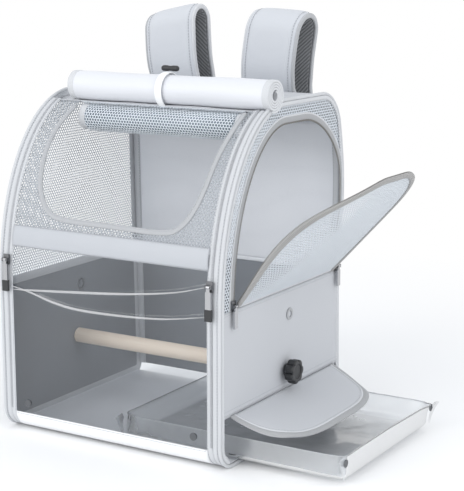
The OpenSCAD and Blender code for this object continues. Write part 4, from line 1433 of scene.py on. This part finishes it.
@dataclass
class SideDoor:
    """The right wall's door: netting round its opening, the zip round it, and the leaf folded out."""

    rim: Rim
    fold: tuple[float, float] = (155.2 * MM, 181 * MM)
    inset: float = 30 * MM
    rear_y: float = 122 * MM
    rear_r: float = 80 * MM
    opened: float = 43.0
    belly: float = 5 * MM
    curl: float = 20 * MM

    def edge(self, grow: float) -> Array:
        """Returns the opening's edge as (y, z), grown: parallel to the arch, then a round rear corner, then down."""
        rim, d = self.rim, self.inset - grow
        s = np.linspace(rim.by_height(self.fold[1], d), rim.s_top, 60)
        front = np.stack(rim.at(s, d), 1)
        a = np.radians(np.linspace(90, 0, 26))
        cy, cz, r = self.rear_y - self.rear_r, rim.crown_z - self.inset - self.rear_r, self.rear_r + grow
        corner = np.stack([cy + r * np.cos(a), cz + r * np.sin(a)], 1)
        return np.vstack([front, corner, [[self.rear_y + grow, self.fold[1]]]])

    def flat_track(self, grow: float, x: float, step: float = 4 * MM) -> Track:
        """Returns a track along the opening's edge in the plane of the wall."""
        path = even(self.edge(grow), step)
        centre = np.column_stack([np.full(len(path), x), path])
        return Track.on(centre, np.tile([1.0, 0.0, 0.0], (len(path), 1)))

    def swing(self, points: Array) -> Array:
        """Turns points of the closed leaf about the fold to where it stands.

        Its middle bellies down, and its front edge curls up, both by half a sine from fold to tip.
        """
        a = math.radians(self.opened)
        fx, fz = self.fold
        dx, dz = points[:, 0] - fx, points[:, 2] - fz
        reach = np.clip(dz / (190 * MM), 0, 1)
        across = np.clip(1 - ((points[:, 1] + 5 * MM) / (125 * MM)) ** 2, 0, 1)
        curl = ease((-55 * MM - points[:, 1] + 62 * MM * reach**1.6) / (80 * MM))
        dx = dx + self.belly * np.sin(math.pi * reach) * across - self.curl * curl * np.sin(math.pi * reach**1.15) ** 1.2
        return np.stack(
            [
                fx + dx * math.cos(a) + dz * math.sin(a),
                points[:, 1],
                fz - dx * math.sin(a) + dz * math.cos(a),
            ],
            1,
        )

    def hung(self, patch: Patch) -> Patch:
        """Returns a surface of the closed leaf where the open leaf holds it."""
        return Patch(self.swing(patch.verts), patch.faces, patch.uvs, patch.closed)

    def build(self) -> None:
        """Builds the opening and the leaf."""
        self.surround()
        self.opening_zip()
        self.leaf()

    def surround(self) -> None:
        """Builds the netting between the opening and the shell's edge."""
        rim = self.rim
        outline = rim.outline(6 * MM, self.fold[1] - 1 * MM)
        hole = np.vstack([self.edge(8 * MM), [[self.rear_y + 8 * MM, 0.1], [-0.2, 0.1]]])
        net = netting(
            (-rim.front_y, rim.foot_y),
            (self.fold[1], rim.crown_z),
            on_wall(1, rim.half_w - 1.4 * MM),
            lambda y, z: within(y, z, outline) & ~within(y, z, hole),
        )
        make("right_netting", net, YARN, stands_for=["right_mesh"], wall=0.5 * MM)

    def opening_zip(self) -> None:
        """Builds the zip tape round the opening, its folded inner edge and its half of the coil, darkened as painted
        groove shade.
        """
        x = self.rim.half_w - 1.1 * MM
        tape = self.flat_track(5 * MM, x).sweep(crowned(10 * MM, 0.5 * MM, 0.7 * MM))
        make("door_opening_tape", tape, TAPE_GREY, stands_for=["door_opening_zip"])
        fold = self.flat_track(9.2 * MM, x + 0.3 * MM).sweep(pill(2.2 * MM, 1.8 * MM, 10))
        make("door_opening_piping", fold, BINDING_PALE)
        coil = self.flat_track(1.2 * MM, x + 0.6 * MM, 2.5 * MM)
        make("door_opening_coil", coil.blocks(1.7 * MM, 1.15 * MM, 2.4 * MM, 1.0 * MM), COIL_PAINTED_GROOVE_SHADE)

    def leaf(self) -> None:
        """Builds the leaf: netting darkened as painted shade, with a hem at the fold, a thick bound edge, its stitches
        and its half of the coil, darkened as painted groove shade.
        """
        x = self.rim.half_w - 1.5 * MM
        field_edge = np.vstack([self.edge(-8 * MM), [[self.rear_y - 8 * MM, self.fold[1] + 2 * MM], [-110 * MM, self.fold[1] + 2 * MM]]])
        net = netting(
            (-self.rim.front_y, self.rim.foot_y),
            (self.fold[1] + 2.5 * MM, self.rim.crown_z),
            on_wall(1, x),
            lambda y, z: within(y, z, field_edge),
            hole=(0.62, 0.6),
        )
        make("door_netting", self.hung(net), YARN_DOOR_PAINTED_SHADE, "side_door", ["side_door_mesh"], wall=0.6 * MM)
        bound = self.flat_track(-5 * MM, x).sweep(pill(8.4 * MM, 3.4 * MM, 16))
        make("door_bound_edge", self.hung(bound), BOUND, "side_door", ["side_door_binding"])
        seam = self.flat_track(-8.0 * MM, x + 1.3 * MM)
        make(
            "door_edge_stitches",
            self.hung(seam.blocks(3.4 * MM, 2.4 * MM, 0.5 * MM, 0.3 * MM)),
            THREAD,
            "side_door",
            flat=True,
        )
        back_seam = self.flat_track(-8.0 * MM, x - 1.3 * MM).flipped()
        make(
            "door_edge_stitches_inner",
            self.hung(back_seam.blocks(3.4 * MM, 2.4 * MM, 0.5 * MM, 0.3 * MM)),
            THREAD,
            "side_door",
            flat=True,
        )
        coil = self.flat_track(-2.2 * MM, x - 1.5 * MM, 2.5 * MM).flipped()
        make(
            "door_leaf_coil",
            self.hung(coil.blocks(1.7 * MM, 1.15 * MM, 2.6 * MM, 0.9 * MM)),
            COIL_PAINTED_GROOVE_SHADE,
            "side_door",
        )
        y = np.linspace(self.edge(-6 * MM)[0, 0], self.rear_y - 6 * MM, 60)
        hem = along_y(x, y, self.fold[1] + 1.9 * MM, 1.0)
        make("door_fold_hem", self.hung(hem.sweep(pill(3.2 * MM, 1.6 * MM, 10))), BINDING_PALE, "side_door")


@dataclass
class TrayFlap:
    """The cloth flap over the tray slot: a blunt tongue with a zip tape round it."""

    fold: tuple[float, float] = (155.2 * MM, 61 * MM)
    reach: float = 82 * MM
    half: float = 124 * MM
    droop: float = 17.0
    edge_w: float = 9 * MM

    def tongue(self, grow: float, count: int = 90) -> Array:
        """Returns the tongue's edge as (u, v): u = reach (1 - |v / half|^4)^(1 / 2.2)."""
        v = -np.cos(np.linspace(0, math.pi, count))
        u = (self.reach + grow) * np.maximum(0, 1 - np.abs(v) ** 4) ** (1 / 2.2)
        return np.stack([np.maximum(u, 0.4 * MM), v * (self.half + grow)], 1)

    def hang(self, points: Array) -> Array:
        """Turns flat points (u, v, up) to where the flap hangs. Its two ends curl down outside the tray."""
        a = math.radians(self.droop)
        u, v, up = points.T
        curl = 9 * MM * ease((np.abs(v) - 92 * MM) / (34 * MM)) * (u / self.reach)
        wave = 0.9 * MM * np.sin(v * 38 + 0.6) * np.sin(np.clip(u / self.reach, 0, 1) * math.pi)
        up = up - curl + wave
        return np.stack(
            [
                self.fold[0] + u * math.cos(a) + up * math.sin(a),
                v,
                self.fold[1] - u * math.sin(a) + up * math.cos(a),
            ],
            1,
        )

    def hung(self, patch: Patch) -> Patch:
        """Returns a flat surface where the flap hangs."""
        return Patch(self.hang(patch.verts), patch.faces, patch.uvs, patch.closed)

    def edge_track(self, grow: float, up: float) -> Track:
        """Returns a track along the tongue's edge in the flat."""
        path = even(self.tongue(grow), 3.5 * MM)
        return Track.on(
            np.column_stack([path, np.full(len(path), up)]), np.tile([0.0, 0.0, 1.0], (len(path), 1))
        )

    def build(self) -> None:
        """Builds the flap, its tape, coil and stitches."""
        field_edge = self.tongue(-self.edge_w + 1.5 * MM)
        cloth = cut_flat(field_edge, lambda u, v: np.stack([u, v, np.zeros_like(u)], 1), step=6 * MM)
        make("flap_cloth", self.hung(cloth), OXFORD, "flap", ["tray_flap"], wall=1.6 * MM)
        tape = self.edge_track(-self.edge_w / 2, -0.9 * MM).sweep(crowned(9 * MM, 1.2 * MM, 0.9 * MM))
        make("flap_tape", self.hung(tape), TAPE_GREY, "flap", ["tray_flap_zip"])
        piping = self.edge_track(-self.edge_w + 0.8 * MM, 0.4 * MM).sweep(pill(2.4 * MM, 2.0 * MM, 10))
        make("flap_piping", self.hung(piping), BINDING_PALE, "flap")
        coil = self.edge_track(-1.8 * MM, -0.8 * MM).flipped()
        make("flap_coil", self.hung(coil.blocks(1.7 * MM, 1.15 * MM, 2.6 * MM, 0.9 * MM)), COIL, "flap")
        seam = self.edge_track(-self.edge_w - 1.6 * MM, 0.7 * MM)
        make(
            "flap_stitches",
            self.hung(seam.blocks(3.6 * MM, 2.6 * MM, 0.5 * MM, 0.3 * MM)),
            THREAD,
            "flap",
            flat=True,
        )


@dataclass
class Tray:
    """The clear tray: one sheet folded up, its spare corners pinched into ears and riveted."""

    corner: float = 7 * MM
    ear: float = 13 * MM
    splay: tuple[float, float] = (6 * MM, 2 * MM)

    def build(self) -> None:
        """Builds the folded sheet, the four ears and the rivets' place."""
        low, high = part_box("tray_sheet")
        self.x0, self.x1 = low.x + 0.6 * MM, high.x - 0.6 * MM
        self.y0, self.y1 = low.y + self.ear + 0.6 * MM, high.y - self.ear - 0.6 * MM
        self.z0, self.z1 = low.z + 0.4 * MM, high.z - 0.3 * MM
        self.pan()
        self.ears()
        dress(RIVET, "tray_rivets")

    def pan(self) -> None:
        """Builds floor and walls as rings: a rounded rectangle that grows over the floor, turns up through a
        small arc and rises with slightly wavy walls.
        """
        a = np.linspace(0, 2 * math.pi, 240, endpoint=False)
        power = 0.085
        c, s = np.cos(a), np.sin(a)
        ux, uy = np.sign(c) * np.abs(c) ** power, np.sign(s) * np.abs(s) ** power
        cx, cy = (self.x0 + self.x1) / 2, (self.y0 + self.y1) / 2
        hx, hy = (self.x1 - self.x0) / 2, (self.y1 - self.y0) / 2
        turn = np.radians(np.linspace(0, 90, 8))
        r = self.corner
        inward = np.concatenate([np.linspace(hy * 0.98, r, 26), r * (1 - np.sin(turn))[1:], np.zeros(9)])
        rise = np.concatenate(
            [np.zeros(26), r * (1 - np.cos(turn))[1:], np.linspace(r, self.z1 - self.z0, 10)[1:]]
        )
        wave = np.where(rise > 0, 1.0, 0.0) * (rise / (self.z1 - self.z0)) ** 1.5
        gx = ux[None] * (hx - inward[:, None])
        gy = uy[None] * (hy - inward[:, None])
        bend = 1.5 * MM * wave[:, None] * (1 + np.sin(5 * a[None] + 0.7) * np.cos(3 * a[None]))
        gx = gx * (1 - bend / hx)
        gy = gy * (1 - bend / hy)
        splay = wave[:, None] ** 1.6 * ease((gx / hx - 0.55) / 0.4) * ease((gy / hy - 0.5) / 0.45)
        gx = gx + self.splay[0] * splay
        gy = gy + self.splay[1] * splay
        z = self.z0 + rise[:, None] + 0.3 * MM * np.sin(gx * 40 + 1) * np.sin(gy * 50) * (
            rise[:, None] < 1e-6
        )
        z = np.maximum(z, self.z0 - 0.1 * MM) - 0.5 * MM * wave[:, None] * (1 + np.sin(7 * a[None]))
        grid = np.stack(np.broadcast_arrays(cx + gx, cy + gy, z), -1)
        v = np.linspace(0, 2 * (hx + hy) * 2, 241)
        sheet = lattice(grid, lengths(np.stack([inward[::-1], rise], 1)), v, loop_v=True)
        sheet = Patch(sheet.verts, sheet.faces[:-2], sheet.uvs[: -2 * 240], closed=False)
        ring = tuple(range(240))
        sheet.faces.append(ring[::-1])
        sheet.uvs = np.vstack([sheet.uvs, np.zeros((240, 2))])
        make("tray_vinyl", sheet, PVC_TRAY, "tray", ["tray_sheet"])
        top = grid[-1]
        out = np.tile([0.0, 0.0, 1.0], (240, 1))
        lip = Track.on(top - [0, 0, 0.8 * MM], out, closed=True).sweep(pill(1.6 * MM, 1.6 * MM, 8))
        make("tray_rolled_lip", lip, PVC_TRAY, "tray")

    def ears(self) -> None:
        """Builds the ears: triangular folds that fan out from each corner's foot to its top, bulging a little."""
        ears = None
        for x, lean in ((self.x0, 1), (self.x1, -1)):
            for y, side in ((self.y0, -1), (self.y1, 1)):
                t, q = np.meshgrid(np.linspace(0.04, 1, 12), np.linspace(0, 1, 9), indexing="ij")
                z = self.z0 + 1 * MM + t * (self.z1 - self.z0 - 1 * MM) - 2.5 * MM * q * q * t
                yy = y + side * (self.ear + 0.2 * MM) * q * t - side * 1.0 * MM
                loose = t**2.4 if lean < 0 < side else 0 * t
                yy = yy + self.splay[1] * loose
                for layer in (0.0, 1.5 * MM):
                    xx = x + lean * (layer + 0.5 * MM * np.sin(math.pi * q) * t) + self.splay[0] * loose
                    sheet = lattice(np.stack([xx, yy, z], -1), t[:, 0] * 0.024, q[0] * self.ear)
                    sheet.closed = False
                    ears = sheet if ears is None else ears.plus(sheet)
        make("tray_ears", ears, PVC_TRAY, "tray")


@dataclass
class PerchSet:
    """The perch, its studs and star knobs, and the eyelets."""

    lobes: int = 7

    def build(self) -> None:
        """Dresses the dowel, studs and eyelets, and builds both knobs."""
        dress(BEECH, "perch")
        dress(STEEL, "eyelets", "right_stud", "left_stud")
        dress(RIVET, "shell_rivets")
        self.knob(1, "right_knob")
        self.knob(-1, "left_knob")

    def knob(self, side: int, node: str) -> None:
        """Builds a star knob: a hub that opens into lobes, with rounded shoulders and a dished face.

        The radius is hub + (star - hub) * share(z), where star = 11.8 + 3.1 |cos(lobes a / 2)|^0.7 mm.
        """
        low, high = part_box(node)
        start = low.x if side > 0 else high.x
        long = high.x - low.x
        cy, cz = (low.y + high.y) / 2, (low.z + high.z) / 2
        a = np.linspace(0, 2 * math.pi, 140, endpoint=False)
        star = (11.6 + 3.3 * np.abs(np.cos(self.lobes * a / 2)) ** 0.7) * MM
        rows = [
            (0, 0.02, 0),
            (0, 0.5, 0),
            (0.0, 7.4, 0),
            (0.03, 8, 0),
            (0.2, 8, 0),
            (0.28, 8.3, 0.1),
            (0.33, 0, 0.9),
            (0.38, 0, 0.97),
            (0.5, 0, 1),
            (0.85, 0, 1),
            (0.93, 0, 0.97),
            (0.98, 0, 0.9),
            (1.0, 0, 0.8),
        ]
        z = np.array([r[0] for r in rows] + [1.0, 0.985, 0.93, 0.92]) * long
        radius = np.array([[r[1] * MM] * 140 if r[2] == 0 else r[1] * MM * 0 + (8 * MM + (star - 8 * MM) * r[2]) for r in rows] + [np.full(140, q * MM) for q in (9.4, 9.0, 8.6, 0.02)])
        grid = np.stack(
            [start + side * z[:, None] + 0 * radius, cy + radius * np.cos(a), cz + radius * np.sin(a)], -1
        )
        solid = lattice(grid, z, np.linspace(0, 0.09, 141), loop_v=True)
        make(f"{node}_star", solid, ABS, node, [node])


@dataclass
class Strap:
    """A padded shoulder strap: it rises from the back, folds over at the top and hangs down behind."""

    rim: Rim
    side: int
    name: str
    loop: float
    x0: float
    swing: float
    lift: float
    width: float = 72 * MM
    top_z: float = 501 * MM
    pad: float = 8 * MM
    seat: float = 0.3 * MM

    def path(self) -> Array:
        """Returns the strap's smooth path in the side view as (y, z)."""
        rim = self.rim
        back_y = lambda z: rim.foot_y - 0.5 * MM - (rim.foot_y - rim.back_top_y) * (z - rim.heel_r) / (
            rim.crown_cz - rim.heel_r
        )
        points = [(back_y(z) + self.pad + self.seat, z) for z in (327 * MM, rim.crown_cz - 4 * MM)]
        a = np.radians(np.linspace(12, 52, 5))
        r = rim.crown_r + self.pad + 0.8 * MM
        points += list(zip(rim.crown_y + r * np.cos(a), rim.crown_cz + r * np.sin(a)))
        points += [(113 * MM, rim.crown_z + 22 * MM), (110 * MM, rim.crown_z + 45 * MM)]
        a = np.radians(np.linspace(176, 6, 9))
        mid_y, mid_z = 110 * MM + self.loop / 2, self.top_z - self.loop / 2 - self.pad
        points += list(zip(mid_y + self.loop / 2 * np.cos(a), mid_z + self.loop / 2 * np.sin(a)))
        t = np.linspace(0, 1, 9)
        fall_y = (112 * MM + self.loop) * (1 - t) + 159 * MM * t + 12 * MM * np.sin(math.pi * t)
        points += list(zip(fall_y, 439 * MM + t * (214 - 439) * MM))
        return smooth_path(points, 3.5 * MM)

    def grid(self, across: Array, out: Callable[[Array, Array], Array]) -> tuple[Array, Array]:
        """Returns points for places across the strap, at heights out(q, s) off the path, and the path's lengths."""
        path = self.path()
        s = lengths(path)
        course = unit(np.gradient(path, axis=0))
        normal = np.stack([-course[:, 1], course[:, 0]], 1)
        share = np.clip((path[:, 1] - self.rim.crown_z) / (self.top_z - self.rim.crown_z), 0, 1)
        q, si = np.meshgrid(across, s)
        high = out(q, si)
        x = self.side * (self.x0 + self.swing * share[:, None] + q * self.width / 2)
        y = path[:, :1] + normal[:, :1] * high
        z = path[:, 1:] + normal[:, 1:] * high - q * self.lift * share[:, None]
        return np.stack([x, y, z], -1), s

    def build(self) -> None:
        """Builds the padded face, its bindings and seams, and the corded lining under it."""
        total = lengths(self.path())[-1]
        q = np.concatenate([np.linspace(-1, 1, 34), np.linspace(1, -1, 10)[1:-1]])
        upper = np.concatenate([np.ones(34), np.zeros(8)])

        def face(qq: Array, s: Array) -> Array:
            dome = np.clip(1 - np.abs(qq) ** 6, 0, 1) ** 0.5 * (0.85 + 0.15 * (1 - qq**2))
            channel = 1 - 0.28 * np.exp(-(((np.abs(qq) - 0.84) / 0.05) ** 2))
            ends = np.clip(np.minimum(s, total - s) / (12 * MM), 0, 1) ** 0.5
            soft = 1 + 0.03 * np.sin(s * 130) * np.cos(qq * 3)
            return upper[None] * self.pad * 0.97 * (0.3 + 0.7 * dome * channel * ends * soft)

        points, s = self.grid(q, face)
        body = lattice(points, s, np.append(q, q[0]) * self.width / 2 + self.width, loop_v=True)
        pad = make(f"{self.name}_padding", body, STRAP, stands_for=[f"{self.name}_pad"])
        lining_q = np.concatenate([np.linspace(-0.92, 0.92, 16), np.linspace(0.92, -0.92, 16)])
        under = np.concatenate([np.zeros(16), np.ones(16)])
        points, s = self.grid(lining_q, lambda qq, ss: -0.3 * MM - under[None] * 1.7 * MM)
        lining = lattice(
            points, s, np.append(lining_q, lining_q[0]) * self.width / 2 + self.width, loop_v=True
        )
        make(f"{self.name}_corded_lining", lining, CORDED, stands_for=[f"{self.name}_lining"])
        for end, tag in ((-1, "inner"), (1, "outer")):
            edge, s = self.grid(np.array([end * 0.985]), lambda qq, ss: np.full_like(qq, 2.0 * MM))
            top, _ = self.grid(np.array([end * 0.985]), lambda qq, ss: np.full_like(qq, 3.0 * MM))
            centre = edge[:, 0]
            track = Track.on(centre, unit(top[:, 0] - centre))
            make(
                f"{self.name}_binding_{tag}",
                track.sweep(pill(3.4 * MM, 6.2 * MM, 14)),
                BINDING if tag == "outer" else BINDING_PALE,
            )
            seam, _ = self.grid(np.array([end * 0.84]), lambda qq, ss: np.full_like(qq, self.pad * 0.74))
            above, _ = self.grid(np.array([end * 0.84]), lambda qq, ss: np.full_like(qq, self.pad))
            track = Track.on(seam[:, 0], unit(above[:, 0] - seam[:, 0]))
            make(
                f"{self.name}_stitches_{tag}",
                track.blocks(3.6 * MM, 2.6 * MM, 0.6 * MM, 0.5 * MM),
                THREAD,
                flat=True,
            )


def trims() -> None:
    """Dresses the zip sliders, pulls, grips and buckles, and builds the lower webbings."""
    dress(GUNMETAL, "front_left_slider", "front_right_slider", "door_front_slider", "door_rear_slider")
    dress(NICKEL, "front_left_pull", "front_right_pull", "door_front_pull", "door_rear_pull")
    dress(RUBBER, "front_left_grip", "front_right_grip")
    dress(ABS, "strap_buckles")
    low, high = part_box("strap_webs")
    webs = None
    for side, x in ((-1, 74 * MM), (1, 62 * MM)):
        t = np.linspace(0, 1, 60)
        top, foot = np.array([side * x, 159 * MM - 3.2 * MM, 200 * MM]), np.array(
            [side * 110 * MM, 143.6 * MM, 66 * MM]
        )
        run = top + (foot - top) * t[:, None]
        run[:, 1] += 0.6 * MM * np.sin(math.pi * t)
        tab = np.stack([np.full(20, foot[0]), np.full(20, foot[1]), np.linspace(66, 40.5, 20) * MM], 1)
        centre = np.vstack([run, tab[1:]])
        track = Track(
            centre, np.tile([1.0, 0.0, 0.0], (len(centre), 1)), np.tile([0.0, 1.0, 0.0], (len(centre), 1))
        )
        web = track.sweep(pill(25 * MM, 1.5 * MM, 16))
        webs = web if webs is None else webs.plus(web)
    make("lower_webbings", webs, WEB, stands_for=["strap_webs"])
    LOG.info("webbings lie between %.3f and %.3f", low.z, high.z)


@dataclass
class Studio:
    """Camera, floor and lamps."""

    azimuth: float = 31.27
    elevation: float = 11.35
    distance: float = 1.6706
    target: tuple[float, float, float] = (0.08182, 0.0, 0.22656)
    focal_px: float = 1405.2
    tall_px: int = 491

    def build(self) -> None:
        """Builds all three."""
        self.camera()
        self.floor()
        self.lamps()
        scene = bpy.context.scene
        scene.view_settings.view_transform = "Standard"

    def camera(self) -> None:
        """Places the camera on a sphere about the target, looking at it."""
        lens = bpy.data.cameras.new("camera")
        lens.sensor_width = 36.0
        lens.sensor_fit = "AUTO"
        lens.lens = self.focal_px * 36.0 / self.tall_px
        lens.clip_end = 50.0
        camera = bpy.data.objects.new("camera", lens)
        a, e = math.radians(self.azimuth), math.radians(self.elevation)
        away = Vector((math.sin(a) * math.cos(e), -math.cos(a) * math.cos(e), math.sin(e)))
        turn = away.to_track_quat("Z", "Y").to_matrix().to_4x4()
        camera.matrix_world = Matrix.Translation(Vector(self.target) + away * self.distance) @ turn
        bpy.context.scene.collection.objects.link(camera)
        bpy.context.scene.camera = camera

    def floor(self) -> None:
        """Builds a pale matt floor that fades into the white surroundings away from the object."""
        size = 4.0
        mesh = bpy.data.meshes.new("floor")
        mesh.from_pydata(
            [
                (-size, -size, -0.0002),
                (size, -size, -0.0002),
                (size, size, -0.0002),
                (-size, size, -0.0002),
            ],
            [],
            [(0, 1, 2, 3)],
        )
        floor = bpy.data.objects.new("floor", mesh)
        bpy.context.scene.collection.objects.link(floor)
        made = bpy.data.materials.new("paper floor, white")
        made.use_nodes = True
        tree = made.node_tree
        tree.nodes.clear()
        place = add(tree, "TexCoord").outputs["Object"]
        far = add(tree, "VectorMath", {0: place}, operation="LENGTH").outputs["Value"]
        fade = add(tree, "MapRange", {"Value": far, "From Min": 0.45, "From Max": 1.1}).outputs["Result"]
        paper = add(tree, "BsdfDiffuse", {"Color": linear("FAFAFA")})
        bright = add(tree, "Emission", {"Color": (1.0, 1.0, 1.0, 1.0), "Strength": 1.0})
        both = add(tree, "MixShader", {0: fade, 1: paper.outputs[0], 2: bright.outputs[0]})
        add(tree, "OutputMaterial", {"Surface": both.outputs[0]})
        mesh.materials.append(made)

    def lamps(self) -> None:
        """Lights the object from a dim pale sky and two large soft lamps. Lens, gloss and clear sheets see white."""
        world = bpy.data.worlds.new("studio")
        bpy.context.scene.world = world
        world.use_nodes = True
        tree = world.node_tree
        tree.nodes.clear()
        path = add(tree, "LightPath")
        seen = add(tree, "Math", {0: path.outputs["Is Camera Ray"], 1: path.outputs["Is Glossy Ray"]}, operation="MAXIMUM").outputs[0]
        seen = add(tree, "Math", {0: seen, 1: path.outputs["Is Transmission Ray"]}, operation="MAXIMUM").outputs[0]
        sky = add(tree, "Background", {"Color": linear("F4F7FB"), "Strength": 0.9})
        white = add(tree, "Background", {"Color": (1.0, 1.0, 1.0, 1.0), "Strength": 1.0})
        both = add(tree, "MixShader", {0: seen, 1: sky.outputs[0], 2: white.outputs[0]})
        add(tree, "OutputWorld", {"Surface": both.outputs[0]})
        for name, at, size, watts in (
            ("key", (-0.7, -2.7, 1.3), 2.6, 38.0),
            ("side", (2.6, -0.5, 1.5), 3.0, 24.0),
            ("top", (0.0, 0.2, 2.8), 2.6, 5.0),
        ):
            light = bpy.data.lights.new(name, "AREA")
            light.shape = "DISK"
            light.size = size
            light.energy = watts
            lamp = bpy.data.objects.new(name, light)
            aim = Vector(at) - Vector((0.0, 0.0, 0.2))
            lamp.matrix_world = Matrix.Translation(Vector(at)) @ aim.to_track_quat("Z", "Y").to_matrix().to_4x4()
            bpy.context.scene.collection.objects.link(lamp)


def main() -> None:
    """Builds the carrier in order, and the studio about it."""
    logging.basicConfig(level=logging.INFO, format="%(name)s: %(message)s")
    Studio().build()
    rim = Rim()
    for part in (
        ArchEdges(rim), Front(rim), Walls(rim), SideDoor(rim), Rolls(rim), TrayFlap(), Tray(), PerchSet()
    ):
        LOG.info("building %s", type(part).__name__)
        part.build()
    Strap(rim, -1, "left_strap", 32 * MM, 74 * MM, 3 * MM, 8 * MM).build()
    Strap(rim, 1, "right_strap", 44 * MM, 62 * MM, 16 * MM, 2 * MM).build()
    trims()


if __name__ == "__main__":
    main()
